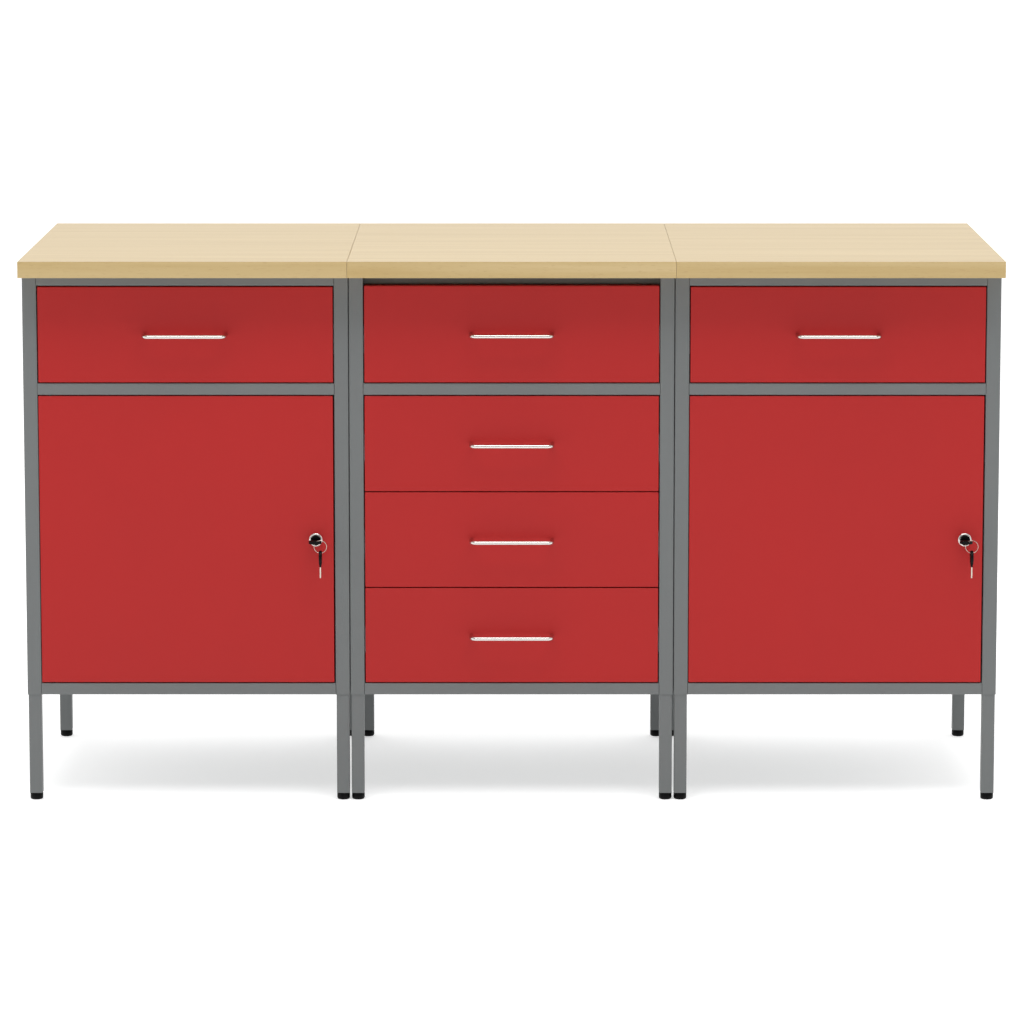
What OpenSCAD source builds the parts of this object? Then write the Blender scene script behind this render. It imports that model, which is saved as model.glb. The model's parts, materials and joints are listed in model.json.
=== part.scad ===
// Workbench of three steel cabinets side by side under three worktop boards.
// The outer cabinets have a drawer over a lockable cupboard, the middle one has four drawers.
// Millimetres. X runs to the right, Y to the back, Z up. The origin is on the floor,
// in the middle of the worktop's outline.

/* [Cabinets] */
// Width of one cabinet
module_w = 500; // [420:10:620]
// Gap between neighbouring cabinets
module_gap = 1; // [0.5:0.1:3]
// Depth of a cabinet's frame
frame_d = 490; // [400:10:640]
// Height of a cabinet, without its legs
cabinet_h = 656; // [540:1:800]
// Height of the opening for the top drawer
upper_open_h = 151; // [120:1:190]

/* [Worktop] */
// Thickness of the boards
top_t = 25; // [18:1:40]
// How far the boards stand out in front of the frames
overhang_front = 57; // [45:1:90]
// How far the boards stand out behind the frames
overhang_back = 53; // [10:1:90]
// Seam between two boards
top_seam = 0.4; // [0.2:0.1:1.5]

/* [Frame tubes] */
// Outer width of the square corner posts
post_w = 22; // [20:0.5:32]
// Wall of the posts
post_wall = 1; // [0.8:0.1:2]
// Height of the rails between the posts
rail_h = 18; // [16:0.5:26]
// Wall of the rails
rail_wall = 1.5; // [1:0.1:2]
// Outer corner radius of the tubes
corner_r = 2; // [1.5:0.1:3]
// Slit that stands for the weld between two tubes
weld_slit = 0.05; // [0.02:0.01:0.1]

/* [Legs and feet] */
// Length of leg that shows between the cabinet and the foot
leg_free = 156; // [100:1:260]
// Length of leg inside the post
leg_insert = 100; // [60:1:160]
// Gap all round between a leg and the inside of its post
leg_clearance = 0.15; // [0.1:0.05:0.4]
// Wall of the legs
leg_wall = 1.2; // [1:0.1:2]
// Height of a foot below its leg
foot_h = 11; // [8:0.5:20]
// Diameter of a foot
foot_dia = 20; // [18:0.5:26]
// Radius of a foot's lower rim
foot_rim_r = 3; // [1:0.5:5]
// Length of the plug that holds a foot in its leg
foot_plug_h = 18; // [10:1:30]

/* [Sheet metal] */
// Thickness of the sheet
sheet_t = 1; // [0.8:0.1:1.5]
// How far the outer panels lie inside the face of the tubes
panel_inset = 2; // [1:0.5:5]
// Width of the panels' folded lips
panel_lip = 7; // [5:0.5:7]
// Height of the floor panels' folded lips
floor_lip = 6; // [4:0.5:6]

/* [Uprights and shelves] */
// Width of the uprights that carry the slides and shelves
upright_w = 30; // [24:1:40]
// Space between a front post and its upright, where the lock's cam turns
cam_room = 21; // [16:1:30]
// Sheet of the uprights
upright_t = 1.5; // [1:0.1:2]
// Height of a slot for a shelf clip
slot_h = 12; // [8:1:16]
// Width of a slot
slot_w = 4; // [3:0.5:6]
// Distance from slot to slot
slot_pitch = 50; // [30:5:60]
// Height of a shelf's folded edge
shelf_h = 20; // [15:1:30]
// Gap on each side of a shelf
shelf_side_gap = 1.5; // [1:0.5:4]

/* [Fronts] */
// Depth of the folded drawer fronts and doors
front_d = 18; // [15:0.5:22]
// Width of the folded lips behind them
front_lip = 14; // [8:1:20]
// Gap round a drawer front
drawer_gap = 1.5; // [1:0.1:3]
// Gap above and below a door
door_gap = 1.5; // [1.5:0.1:3]
// Gap beside a door at its hinges
hinge_gap = 0.8; // [0.8:0.1:2]
// Gap beside a door at its lock
lock_gap = 2; // [1.5:0.1:3]

/* [Drawers] */
// Room beside a tray for its slide
slide_room = 13; // [12.7:0.1:14]
// Height of the slides
slide_h = 45; // [35:1:46]
// Distance from a front's lower edge to its tray's floor
tray_drop = 10; // [6:1:16]
// Distance from a tray's rim to its front's upper edge
tray_room = 30; // [20:1:60]
// Width of the hem on a tray's rim
tray_hem = 6; // [4:0.5:10]
// Distance from a tray's back to the back panel
tray_back_gap = 20; // [12:1:40]

/* [Handles] */
// Diameter of the handle rod
rod_dia = 6; // [5:0.5:8]
// Distance between the two screws
handle_span = 125; // [96:1:160]
// Distance from the front to the middle of the rod
handle_reach = 30.5; // [26:0.5:40]
// Radius of the bends, to the middle of the rod
handle_bend = 8; // [6:0.5:12]

/* [Hinges] */
// Diameter of the hinge pins
pin_dia = 5; // [4:0.5:5]
// Running clearance round a pin
pin_clearance = 0.08; // [0.05:0.01:0.1]
// Distance from a door's edge to its pins
pin_edge = 18; // [18:0.5:30]
// Distance from a door's face to the middle of its pins
pin_depth = 4.5; // [4.5:0.1:5]
// Length of a pin inside its door
pin_reach = 8; // [5:0.5:12]

/* [Locks] */
// Distance from a door opening's edge to the middle of its lock
lock_edge = 29.5; // [26:0.5:34]
// Diameter of the bright ring round the lock
rosette_dia = 20.6; // [20:0.1:26]
// Thickness of that ring
rosette_t = 3; // [2:0.5:5]
// Diameter of the lock's body behind the door's face
lock_dia = 17.6; // [17:0.1:19]
// Diameter of the barrel's head
barrel_head_dia = 15.6; // [14:0.1:15.6]
// How far the barrel's head stands out of the door's face
barrel_out = 8; // [5:0.5:10]
// Diameter of the barrel inside the body
barrel_dia = 12; // [11:0.5:13]
// Running clearance round the barrel
barrel_clearance = 0.06; // [0.04:0.01:0.1]
// Length of the cam from the barrel's axis to its tip
cam_len = 40; // [36:0.5:42]
// Width of the cam
cam_w = 14; // [12:0.5:18]
// Thickness of the cam
cam_t = 2.5; // [2:0.5:3]

/* [Keys] */
// Radius of the round end of a key's grip
grip_r = 10; // [9:0.5:11]
// Thickness of the grip
grip_t = 4.4; // [3.5:0.1:4.4]
// Length of the narrow stretch between grip and blade
neck_len = 5.5; // [4:0.5:8]
// Length of the blade
blade_len = 17; // [12:0.5:17]
// Width of the blade
blade_w = 7; // [5:0.5:7.5]
// Thickness of the blade
blade_t = 2; // [1.6:0.1:2.4]
// Width of the slot in the grip
key_slot_w = 10.6; // [9:0.1:10.6]
// Height of that slot
key_slot_h = 5; // [4:0.5:5]
// Radius of the key ring, to the middle of its wire
ring_r = 9.7; // [9.5:0.1:12]
// Diameter of the ring's wire
ring_wire = 1.4; // [1:0.1:1.6]

/* [Hidden] */
$fn = 48;
eps = 0.01; // how far a cut runs past the face that it opens
snug = 0.05; // gap between a screw and the hole that it fills

// Cabinets: 0 is the left one, 1 the middle one, 2 the right one
LEFT = 0;
MIDDLE = 1;
RIGHT = 2;
CABINETS = [LEFT, MIDDLE, RIGHT];
CABINET_NAMES = ["left", "middle", "right"];
CUPBOARDS = [LEFT, RIGHT];

// Drawers: name, cabinet, place counted from the top
DRAWERS = [
    ["left_drawer", LEFT, 0],
    ["middle_drawer_1", MIDDLE, 0],
    ["middle_drawer_2", MIDDLE, 1],
    ["middle_drawer_3", MIDDLE, 2],
    ["middle_drawer_4", MIDDLE, 3],
    ["right_drawer", RIGHT, 0]
];
LOWER_DRAWERS = 3; // drawers below the middle rail of the middle cabinet

// Across
module_pitch = module_w + module_gap;
total_w = len(CABINETS) * module_w + (len(CABINETS) - 1) * module_gap;
top_w = (total_w - (len(CABINETS) - 1) * top_seam) / len(CABINETS);
open_w = module_w - 2 * post_w;
half_w = module_w / 2;
half_open = open_w / 2;
function cabinet_x(c) = (c - MIDDLE) * module_pitch;

// Front to back
top_d = frame_d + overhang_front + overhang_back;
front_y = -top_d / 2 + overhang_front;
back_y = front_y + frame_d;
front_rail_back_y = front_y + post_w;
back_rail_front_y = back_y - post_w;
rail_run = frame_d - 2 * post_w;
back_panel_y = back_y - panel_inset;
back_panel_inner_y = back_panel_y - panel_lip;

// Up
cabinet_z = foot_h + leg_free;
cabinet_top = cabinet_z + cabinet_h;
lower_open_z = cabinet_z + rail_h;
upper_open_top = cabinet_top - rail_h;
upper_open_z = upper_open_top - upper_open_h;
lower_open_top = upper_open_z - rail_h;
lower_open_h = lower_open_top - lower_open_z;

// Legs
leg_w = post_w - 2 * post_wall - 2 * leg_clearance;
post_offset = half_w - post_w / 2;
LEG_PLACES = [
    for (c = CABINETS, side = [-1, 1], y = [front_y + post_w / 2, back_y - post_w / 2])
        [cabinet_x(c) + side * post_offset, y]
];

// Drawer fronts and trays
top_front_h = upper_open_h - 2 * drawer_gap;
low_front_h = (lower_open_h - (LOWER_DRAWERS + 1) * drawer_gap) / LOWER_DRAWERS;
drawer_front_w = open_w - 2 * drawer_gap;
front_back_y = front_y + front_d;
tray_w = open_w - 2 * slide_room;
tray_h = min(top_front_h, low_front_h) - tray_drop - tray_room;
tray_d = back_panel_y - sheet_t - tray_back_gap - front_back_y;
// The middle cabinet's top rail stands back, so its top front covers the gap below it.
function front_z(d) = d[2] == 0
    ? upper_open_z + drawer_gap
    : lower_open_z + drawer_gap + (LOWER_DRAWERS - d[2]) * (low_front_h + drawer_gap);
function front_h(d) = d[2] > 0
    ? low_front_h
    : top_front_h + (d[1] == MIDDLE ? drawer_gap : 0);
function tray_z(d) = front_z(d) + tray_drop;
function handle_z(d) = front_z(d) + front_h(d) / 2;
function slide_z(d) = tray_z(d) + tray_h / 2;

// Slides: three members one inside the other, measured out from the post's inner face
channel_t = 1.2;
channel_flange = 9.5;
carrier_h = slide_h - 6.2;
carrier_web = 5;
carrier_near = 2;
carrier_far = 11;
inner_slide_h = slide_h - 12;
inner_slide_near = 7;
channel_start_y = front_back_y + 5;
carrier_start_y = front_back_y + 3;
inner_start_y = front_back_y + 1;
channel_end_y = front_back_y + tray_d + 4;

// Uprights
upright_back_of_post = front_rail_back_y + cam_room;
UPRIGHT_YS = [upright_back_of_post, back_rail_front_y - upright_w];
upright_h = upper_open_top - lower_open_z;
upright_depth = post_w - panel_inset - panel_lip;
slot_count = floor(lower_open_h / slot_pitch) - 1;
function slot_z(i) = lower_open_z + slot_pitch * (i + 0.5);
shelf_slot = floor(slot_count / 2) - 1;
clip_t = 1.5;
clip_w = 14;
clip_depth = 14;
shelf_z = slot_z(shelf_slot) + slot_h;
shelf_y = upright_back_of_post + 2;
shelf_d = back_panel_inner_y - 15 - shelf_y;

// Doors, hinges and locks
door_w = open_w - hinge_gap - lock_gap;
door_h = lower_open_h - 2 * door_gap;
door_z = lower_open_z + door_gap;
function door_x(c) = cabinet_x(c) - half_open + hinge_gap;
function pin_x(c) = door_x(c) + pin_edge;
pin_y = front_y + pin_depth;
pin_hole_r = pin_dia / 2 + pin_clearance;
pin_hole_depth = pin_reach + 0.5;
pin_anchor = 8;
collar_r = 4;
collar_t = door_gap - 0.4;
boss_w = 16;
boss_d = 11;
boss_h = pin_reach + 2;
stiffener_w = 60;
function lock_x(c) = cabinet_x(c) + half_open - lock_edge;
lock_z = door_z + door_h / 2;
lock_hole_r = lock_dia / 2 + 0.2;
lock_body_back = post_w;
cam_start = lock_body_back + cam_t;
tail_w = 7;
nut_t = 3.5;
keyway_depth = 18.5;
cam_screw_r = 2;
cam_screw_len = 7.5;
cam_screw_head_t = 2.5;

// Keys: the blade's end of the grip is the start, the slot lies near the round end
grip_len = 2 * grip_r;
key_slot_at = grip_len - 5;
neck_w = blade_w + 2;
neck_t = blade_t + 1.2;
key_start = barrel_out + neck_len;
ring_plane = key_start + key_slot_at;
ring_dx = 8.2;
ring_dz = -6.2;
spare_play = 0.6;

// Screws
wood_screw_r = 2.5;
wood_screw_head_r = 4.2;
wood_screw_head_t = 2.5;
wood_screw_bite = 15;
wood_screw_inset = 6;
bolt_r = 3;
bolt_head_r = 4.9;
bolt_head_t = 4;
bolt_low_z = cabinet_z + (rail_h - floor_lip) / 2;
bolt_high_z = cabinet_top - rail_h / 2;
handle_screw_r = 2;
handle_screw_len = 12;
handle_screw_head_t = 2.5;
middle_y = (front_y + back_y) / 2;
front_screw_y = UPRIGHT_YS[0] + upright_w + wood_screw_head_r + 4.5;
SCREW_YS = [front_screw_y, 2 * middle_y - front_screw_y];
BOLT_YS = [middle_y - frame_d / 4, middle_y + frame_d / 4];

// Outline of a rounded bar, centred
module bar_outline(w, d, r) {
    square([w - 2 * r, d], center = true);
    square([w, d - 2 * r], center = true);
    for (x = [-1, 1], y = [-1, 1])
        translate([x * (w / 2 - r), y * (d / 2 - r)])
            circle(r);
}

// Tube standing on the origin, centred in X and Y
module tube(w, d, wall, len) {
    linear_extrude(len)
        difference() {
            bar_outline(w, d, corner_r);
            bar_outline(w - 2 * wall, d - 2 * wall, corner_r - wall * 0.6);
        }
}

// Rail along X from x0 to x1, its lower front edge at y0, z0
module rail_x(x0, x1, y0, z0) {
    translate([x0 + weld_slit, y0 + post_w / 2, z0 + rail_h / 2])
        rotate([90, 0, 90])
            tube(post_w, rail_h, rail_wall, x1 - x0 - 2 * weld_slit);
}

// Rail along Y from y0 to y1, its lower left edge at x0, z0
module rail_y(x0, y0, y1, z0) {
    translate([x0 + post_w / 2, y1 - weld_slit, z0 + rail_h / 2])
        rotate([90, 0, 0])
            tube(post_w, rail_h, rail_wall, y1 - y0 - 2 * weld_slit);
}

// Folded sheet tray in the XZ plane, skin towards -Y, with flanges and lips behind it
module folded_pan(w, d, h, lip) {
    difference() {
        cube([w, d, h]);
        translate([sheet_t, sheet_t, sheet_t])
            cube([w - 2 * sheet_t, d - 2 * sheet_t, h - 2 * sheet_t]);
        translate([lip, d - sheet_t - eps, lip])
            cube([w - 2 * lip, sheet_t + 2 * eps, h - 2 * lip]);
    }
}

// Rod along -Y at each place of a list of [x, z], from y0 forwards
module rods_y(places, y0, len, r) {
    for (p = places)
        translate([p[0], y0, p[1]])
            rotate([90, 0, 0])
                cylinder(h = len, r = r);
}

// Worktop boards, with blind pilot holes for their screws
module worktop(c) {
    x0 = -total_w / 2 + c * (top_w + top_seam);
    color("burlywood")
        difference() {
            translate([x0, -top_d / 2, cabinet_top])
                cube([top_w, top_d, top_t]);
            for (p = screw_places(c))
                translate([p[0], p[1], cabinet_top - eps])
                    cylinder(h = wood_screw_bite + snug + eps, r = wood_screw_r);
        }
}

function screw_places(c) = [
    for (side = [-1, 1], y = SCREW_YS)
        [cabinet_x(c) + side * (half_open + wood_screw_inset), y]
];

// Welded frame of one cabinet: each tube is a solid of its own
module frame(c) {
    x = cabinet_x(c);
    top_rail_y = c == MIDDLE ? front_rail_back_y + weld_slit : front_y;
    color("slategray")
        difference() {
            union() {
                for (side = [-1, 1], y = [front_y, back_rail_front_y])
                    translate([x + side * post_offset, y + post_w / 2, cabinet_z])
                        tube(post_w, post_w, post_wall, cabinet_h);
                for (z = [cabinet_z, lower_open_top])
                    rail_x(x - half_open, x + half_open, front_y, z);
                rail_x(x - half_open, x + half_open, top_rail_y, upper_open_top);
                for (z = [cabinet_z, upper_open_top])
                    rail_x(x - half_open, x + half_open, back_rail_front_y, z);
                for (x0 = [x - half_w, x + half_open], z = [cabinet_z, upper_open_top])
                    rail_y(x0, front_rail_back_y, back_rail_front_y, z);
            }
            for (p = screw_places(c))
                translate([p[0], p[1], upper_open_top - eps])
                    cylinder(h = rail_h + 2 * eps, r = wood_screw_r + snug);
            for (side = [-1, 1], y = BOLT_YS, z = [bolt_low_z, bolt_high_z])
                if (c + side >= LEFT && c + side <= RIGHT)
                    translate([x + side * (half_open + post_w / 2), y, z])
                        rotate([0, 90, 0])
                            cylinder(h = post_w + 1, r = bolt_r + snug, center = true);
            if (c != MIDDLE)
                for (z = [lower_open_z - rail_wall - eps, lower_open_top - eps])
                    translate([pin_x(c), pin_y, z])
                        cylinder(h = rail_wall + 2 * eps, r = pin_dia / 2 + snug);
        }
}

// Square legs pushed up into the posts
module legs() {
    color("slategray")
        for (p = LEG_PLACES)
            translate([p[0], p[1], foot_h])
                tube(leg_w, leg_w, leg_wall, leg_free + leg_insert);
}

// Plastic feet plugged into the legs
module feet() {
    plug_w = leg_w - 2 * leg_wall - 0.2;
    color("black")
        for (p = LEG_PLACES)
            translate([p[0], p[1], 0]) {
                rotate_extrude()
                    union() {
                        square([foot_dia / 2 - foot_rim_r, foot_h]);
                        translate([0, foot_rim_r])
                            square([foot_dia / 2, foot_h - foot_rim_r]);
                        intersection() {
                            translate([foot_dia / 2 - foot_rim_r, foot_rim_r])
                                circle(foot_rim_r);
                            square(foot_dia / 2);
                        }
                    }
                translate([0, 0, foot_h - 1])
                    linear_extrude(foot_plug_h + 1)
                        bar_outline(plug_w, plug_w, corner_r);
            }
}

// Folded side panels between the tubes
module side_panels() {
    h = upper_open_top - lower_open_z;
    skin = panel_inset;
    color("slategray")
        for (c = CABINETS) {
            translate([cabinet_x(c) - half_w + skin, back_rail_front_y, lower_open_z])
                rotate([0, 0, -90])
                    folded_pan(rail_run, panel_lip, h, panel_lip);
            translate([cabinet_x(c) + half_w - skin, front_rail_back_y, lower_open_z])
                rotate([0, 0, 90])
                    folded_pan(rail_run, panel_lip, h, panel_lip);
        }
}

// Folded back panels between the rear posts
module back_panels() {
    h = upper_open_top - lower_open_z;
    color("slategray")
        for (c = CABINETS)
            translate([cabinet_x(c) + half_open, back_panel_y, lower_open_z])
                rotate([0, 0, 180])
                    folded_pan(open_w, panel_lip, h, panel_lip);
}

// Floors between the bottom rails, folded down at their edges
module floor_panels() {
    color("slategray")
        for (c = CABINETS)
            translate([cabinet_x(c) - half_open, front_rail_back_y, lower_open_z - floor_lip])
                difference() {
                    cube([open_w, rail_run, floor_lip]);
                    translate([sheet_t, sheet_t, -eps])
                        cube([
                            open_w - 2 * sheet_t,
                            rail_run - 2 * sheet_t,
                            floor_lip - sheet_t + eps
                        ]);
                }
}

// Channel uprights; those of the cupboards are slotted for the shelf clips
module uprights() {
    color("gray")
        for (c = CABINETS, side = [-1, 1], y = UPRIGHT_YS)
            translate([cabinet_x(c) + side * half_open, y, lower_open_z])
                mirror([side < 0 ? 1 : 0, 0, 0])
                    difference() {
                        cube([upright_depth, upright_w, upright_h]);
                        translate([upright_t, upright_t, -eps])
                            cube([
                                upright_depth,
                                upright_w - 2 * upright_t,
                                upright_h + 2 * eps
                            ]);
                        if (c != MIDDLE)
                            for (i = [0 : slot_count - 1])
                                translate([
                                    -eps,
                                    (upright_w - slot_w) / 2,
                                    slot_z(i) - lower_open_z
                                ])
                                    cube([upright_t + 2 * eps, slot_w, slot_h]);
                    }
}

// Cabinet members of the drawer slides
module slide_channels() {
    color("silver")
        for (d = DRAWERS, side = [-1, 1])
            slide_member(d, side, 0, channel_flange, 0, slide_h,
                channel_start_y, channel_end_y);
}

// Channel or I section: flanges from near to far, web at web_at, all measured from the post
module slide_member(d, side, near, far, web_at, h, y0, y1) {
    translate([cabinet_x(d[1]) + side * half_open, y0, slide_z(d) - h / 2])
        mirror([side > 0 ? 1 : 0, 0, 0]) {
            for (z = [0, h - channel_t])
                translate([near, 0, z])
                    cube([far - near, y1 - y0, channel_t]);
            translate([web_at, 0, 0])
                cube([channel_t, y1 - y0, h]);
        }
}

// Shelves with edges folded down, one in each cupboard
module shelves() {
    w = open_w - 2 * shelf_side_gap;
    color("slategray")
        for (c = CUPBOARDS)
            translate([cabinet_x(c) - w / 2, shelf_y, shelf_z])
                difference() {
                    cube([w, shelf_d, shelf_h]);
                    translate([sheet_t, sheet_t, -eps])
                        cube([
                            w - 2 * sheet_t,
                            shelf_d - 2 * sheet_t,
                            shelf_h - sheet_t + eps
                        ]);
                }
}

// Clips hooked into the slots, under the shelves
module shelf_clips() {
    hook_w = slot_w - 0.4;
    color("silver")
        for (c = CUPBOARDS, side = [-1, 1], y = UPRIGHT_YS)
            translate([cabinet_x(c) + side * half_open, y + upright_w / 2, slot_z(shelf_slot)])
                mirror([side > 0 ? 1 : 0, 0, 0])
                    union() {
                        translate([0, -clip_w / 2, 0])
                            cube([clip_t, clip_w, slot_h]);
                        translate([0, -clip_w / 2, slot_h - clip_t])
                            cube([clip_depth, clip_w, clip_t]);
                        translate([-upright_t - clip_t, -hook_w / 2, 1])
                            cube([upright_t + 2 * clip_t, hook_w, slot_h - 2]);
                    }
}

// Pivot pins with collars, two for each door
module hinge_pins() {
    color("silver")
        for (c = CUPBOARDS, upper = [0, 1])
            translate([pin_x(c), pin_y, upper ? lower_open_top : lower_open_z])
                mirror([0, 0, upper])
                    union() {
                        translate([0, 0, -pin_anchor])
                            cylinder(h = pin_anchor + door_gap + pin_reach, r = pin_dia / 2);
                        cylinder(h = collar_t, r = collar_r);
                    }
}

// Screws up through the top side rails into the boards
module worktop_screws() {
    color("silver")
        for (c = CABINETS, p = screw_places(c))
            translate([p[0], p[1], upper_open_top])
                union() {
                    cylinder(h = rail_h + wood_screw_bite, r = wood_screw_r - snug);
                    translate([0, 0, -wood_screw_head_t])
                        cylinder(h = wood_screw_head_t, r = wood_screw_head_r);
                }
}

// Bolts that join neighbouring cabinets: bolt, nut and spacer
module joining_bolts() {
    reach = 2 * post_w + module_gap;
    color("silver")
        for (c = [LEFT, MIDDLE], y = BOLT_YS, z = [bolt_low_z, bolt_high_z])
            translate([cabinet_x(c) + half_open, y, z])
                rotate([0, 90, 0]) {
                    translate([0, 0, -bolt_head_t])
                        cylinder(h = bolt_head_t, r = bolt_head_r);
                    cylinder(h = reach + bolt_head_t + 1, r = bolt_r - snug);
                    translate([0, 0, reach])
                        difference() {
                            cylinder(h = bolt_head_t, r = bolt_head_r, $fn = 6);
                            translate([0, 0, -eps])
                                cylinder(h = bolt_head_t + 2 * eps, r = bolt_r);
                        }
                    translate([0, 0, post_w])
                        difference() {
                            cylinder(h = module_gap, r = bolt_head_r);
                            translate([0, 0, -eps])
                                cylinder(h = module_gap + 2 * eps, r = bolt_r);
                        }
                }
}

function handle_places(d) = [
    for (side = [-1, 1])
        [cabinet_x(d[1]) + side * handle_span / 2, handle_z(d)]
];

// Folded drawer fronts
module drawer_front(d) {
    color("firebrick")
        difference() {
            translate([cabinet_x(d[1]) - drawer_front_w / 2, front_y, front_z(d)])
                folded_pan(drawer_front_w, front_d, front_h(d), front_lip);
            rods_y(handle_places(d), front_y + sheet_t + 1, sheet_t + 2, handle_screw_r + 0.2);
        }
}

// Sheet trays with a hem round the rim
module drawer_tray(d) {
    inner_w = tray_w - 2 * sheet_t;
    inner_d = tray_d - 2 * sheet_t;
    color("lightgray")
        translate([cabinet_x(d[1]) - tray_w / 2, front_back_y, tray_z(d)])
            difference() {
                cube([tray_w, tray_d, tray_h]);
                translate([sheet_t, sheet_t, sheet_t])
                    cube([inner_w, inner_d, tray_h - 2 * sheet_t]);
                translate([tray_hem, tray_hem, tray_h - sheet_t - eps])
                    cube([tray_w - 2 * tray_hem, tray_d - 2 * tray_hem, sheet_t + 2 * eps]);
            }
}

// Bent rod with its two screws
module drawer_handle(d) {
    r = rod_dia / 2;
    bar_y = front_y - handle_reach;
    straight = handle_span - 2 * handle_bend;
    stem = handle_reach - handle_bend;
    x = cabinet_x(d[1]);
    color("gainsboro") {
        difference() {
            union() {
                translate([x - straight / 2, bar_y, handle_z(d)])
                    rotate([0, 90, 0])
                        cylinder(h = straight, r = r);
                for (side = [-1, 1])
                    translate([x + side * straight / 2, bar_y + handle_bend, handle_z(d)])
                        rotate([0, 0, side > 0 ? -90 : 180])
                            rotate_extrude(angle = 90)
                                translate([handle_bend, 0])
                                    circle(r);
                rods_y(handle_places(d), front_y, stem, r);
            }
            rods_y(handle_places(d), front_y + eps, handle_screw_len, handle_screw_r);
        }
        rods_y(handle_places(d), front_y + sheet_t, handle_screw_len, handle_screw_r - snug);
        rods_y(
            handle_places(d),
            front_y + sheet_t + handle_screw_head_t,
            handle_screw_head_t,
            2 * handle_screw_r
        );
    }
}

// Drawer members of the slides, fixed to the tray's sides
module drawer_slides(d) {
    color("silver")
        for (side = [-1, 1])
            slide_member(d, side, inner_slide_near, slide_room,
                slide_room - channel_t, inner_slide_h,
                inner_start_y, front_back_y + tray_d);
}

// Middle members of the slides, which travel half as far as the drawer
module slide_carriers(d) {
    color("silver")
        for (side = [-1, 1])
            slide_member(d, side, carrier_near, carrier_far, carrier_web, carrier_h,
                carrier_start_y, front_back_y + tray_d + 2);
}

// Folded doors with a stiffener and a boss for each hinge pin
module door(c) {
    color("firebrick")
        difference() {
            union() {
                translate([door_x(c), front_y, door_z])
                    folded_pan(door_w, front_d, door_h, front_lip);
                for (z = [door_z + sheet_t / 2, door_z + door_h - sheet_t / 2 - boss_h])
                    translate([pin_x(c) - boss_w / 2, front_y + sheet_t / 2, z])
                        cube([boss_w, boss_d, boss_h]);
                translate([
                    door_x(c) + (door_w - stiffener_w) / 2,
                    front_y + sheet_t / 2,
                    door_z + sheet_t / 2
                ])
                    difference() {
                        cube([stiffener_w, front_d - sheet_t / 2, door_h - sheet_t]);
                        translate([sheet_t, -eps, sheet_t])
                            cube([
                                stiffener_w - 2 * sheet_t,
                                front_d - 1.5 * sheet_t,
                                door_h - 3 * sheet_t
                            ]);
                    }
            }
            for (z = [door_z - eps, door_z + door_h - pin_hole_depth])
                translate([pin_x(c), pin_y, z])
                    cylinder(h = pin_hole_depth + eps, r = pin_hole_r);
            rods_y([[lock_x(c), lock_z]], front_y + front_d + eps, front_d + 1, lock_hole_r);
        }
}

// Runs its children at the lock's place, Z pointing out of the door's face
module at_lock(c) {
    translate([lock_x(c), front_y, lock_z])
        rotate([90, 0, 0])
            children();
}

// Lock body with its rosette, and the nut behind the door's face
module lock_body(c) {
    head_r = barrel_head_dia / 2 + barrel_clearance;
    color("silver")
        at_lock(c) {
            difference() {
                union() {
                    cylinder(h = rosette_t - 1, r = rosette_dia / 2);
                    translate([0, 0, rosette_t - 1])
                        cylinder(h = 1, r1 = rosette_dia / 2, r2 = rosette_dia / 2 - 1);
                    translate([0, 0, -lock_body_back])
                        cylinder(h = lock_body_back + eps, r = lock_dia / 2);
                }
                translate([0, 0, -1])
                    cylinder(h = rosette_t + 2, r = head_r);
                translate([0, 0, -lock_body_back - eps])
                    cylinder(h = lock_body_back + 1, r = barrel_dia / 2 + barrel_clearance);
            }
            translate([0, 0, -sheet_t - nut_t])
                difference() {
                    cylinder(h = nut_t, r = lock_dia / 2 + 3.5, $fn = 6);
                    translate([0, 0, -eps])
                        cylinder(h = nut_t + 2 * eps, r = lock_dia / 2 + snug);
                }
        }
}

// Barrel with its keyway, the cam on its tail and the cam's screw
module lock_barrel(c) {
    color("dimgray")
        at_lock(c) {
            difference() {
                union() {
                    translate([0, 0, -1 + barrel_clearance])
                        cylinder(h = barrel_out + 1 - barrel_clearance, r = barrel_head_dia / 2);
                    translate([0, 0, snug - cam_start])
                        cylinder(h = cam_start - snug, r = barrel_dia / 2);
                    translate([-tail_w / 2, -tail_w / 2, -cam_start - cam_t])
                        cube([tail_w, tail_w, cam_t + 1]);
                }
                translate([
                    -blade_w / 2 - 0.2,
                    -blade_t / 2 - 0.2,
                    barrel_out - keyway_depth
                ])
                    cube([blade_w + 0.4, blade_t + 0.4, keyway_depth + eps]);
                translate([0, 0, -cam_start - cam_t - eps])
                    cylinder(h = cam_screw_len + 0.5 + eps, r = cam_screw_r);
            }
            translate([0, 0, -cam_start - cam_t])
                difference() {
                    linear_extrude(cam_t)
                        union() {
                            circle(cam_w / 2);
                            translate([-cam_w / 2, 0])
                                square([cam_w, cam_len - cam_w / 2]);
                            translate([0, cam_len - cam_w / 2])
                                circle(cam_w / 2);
                        }
                    translate([-tail_w / 2 - snug, -tail_w / 2 - snug, -eps])
                        cube([tail_w + 2 * snug, tail_w + 2 * snug, cam_t + 2 * eps]);
                }
            translate([0, 0, -cam_start - cam_t - snug])
                cylinder(h = cam_screw_len, r = cam_screw_r - snug);
            translate([0, 0, -cam_start - cam_t - snug - cam_screw_head_t])
                cylinder(h = cam_screw_head_t, r = 2.5 * cam_screw_r);
        }
}

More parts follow.
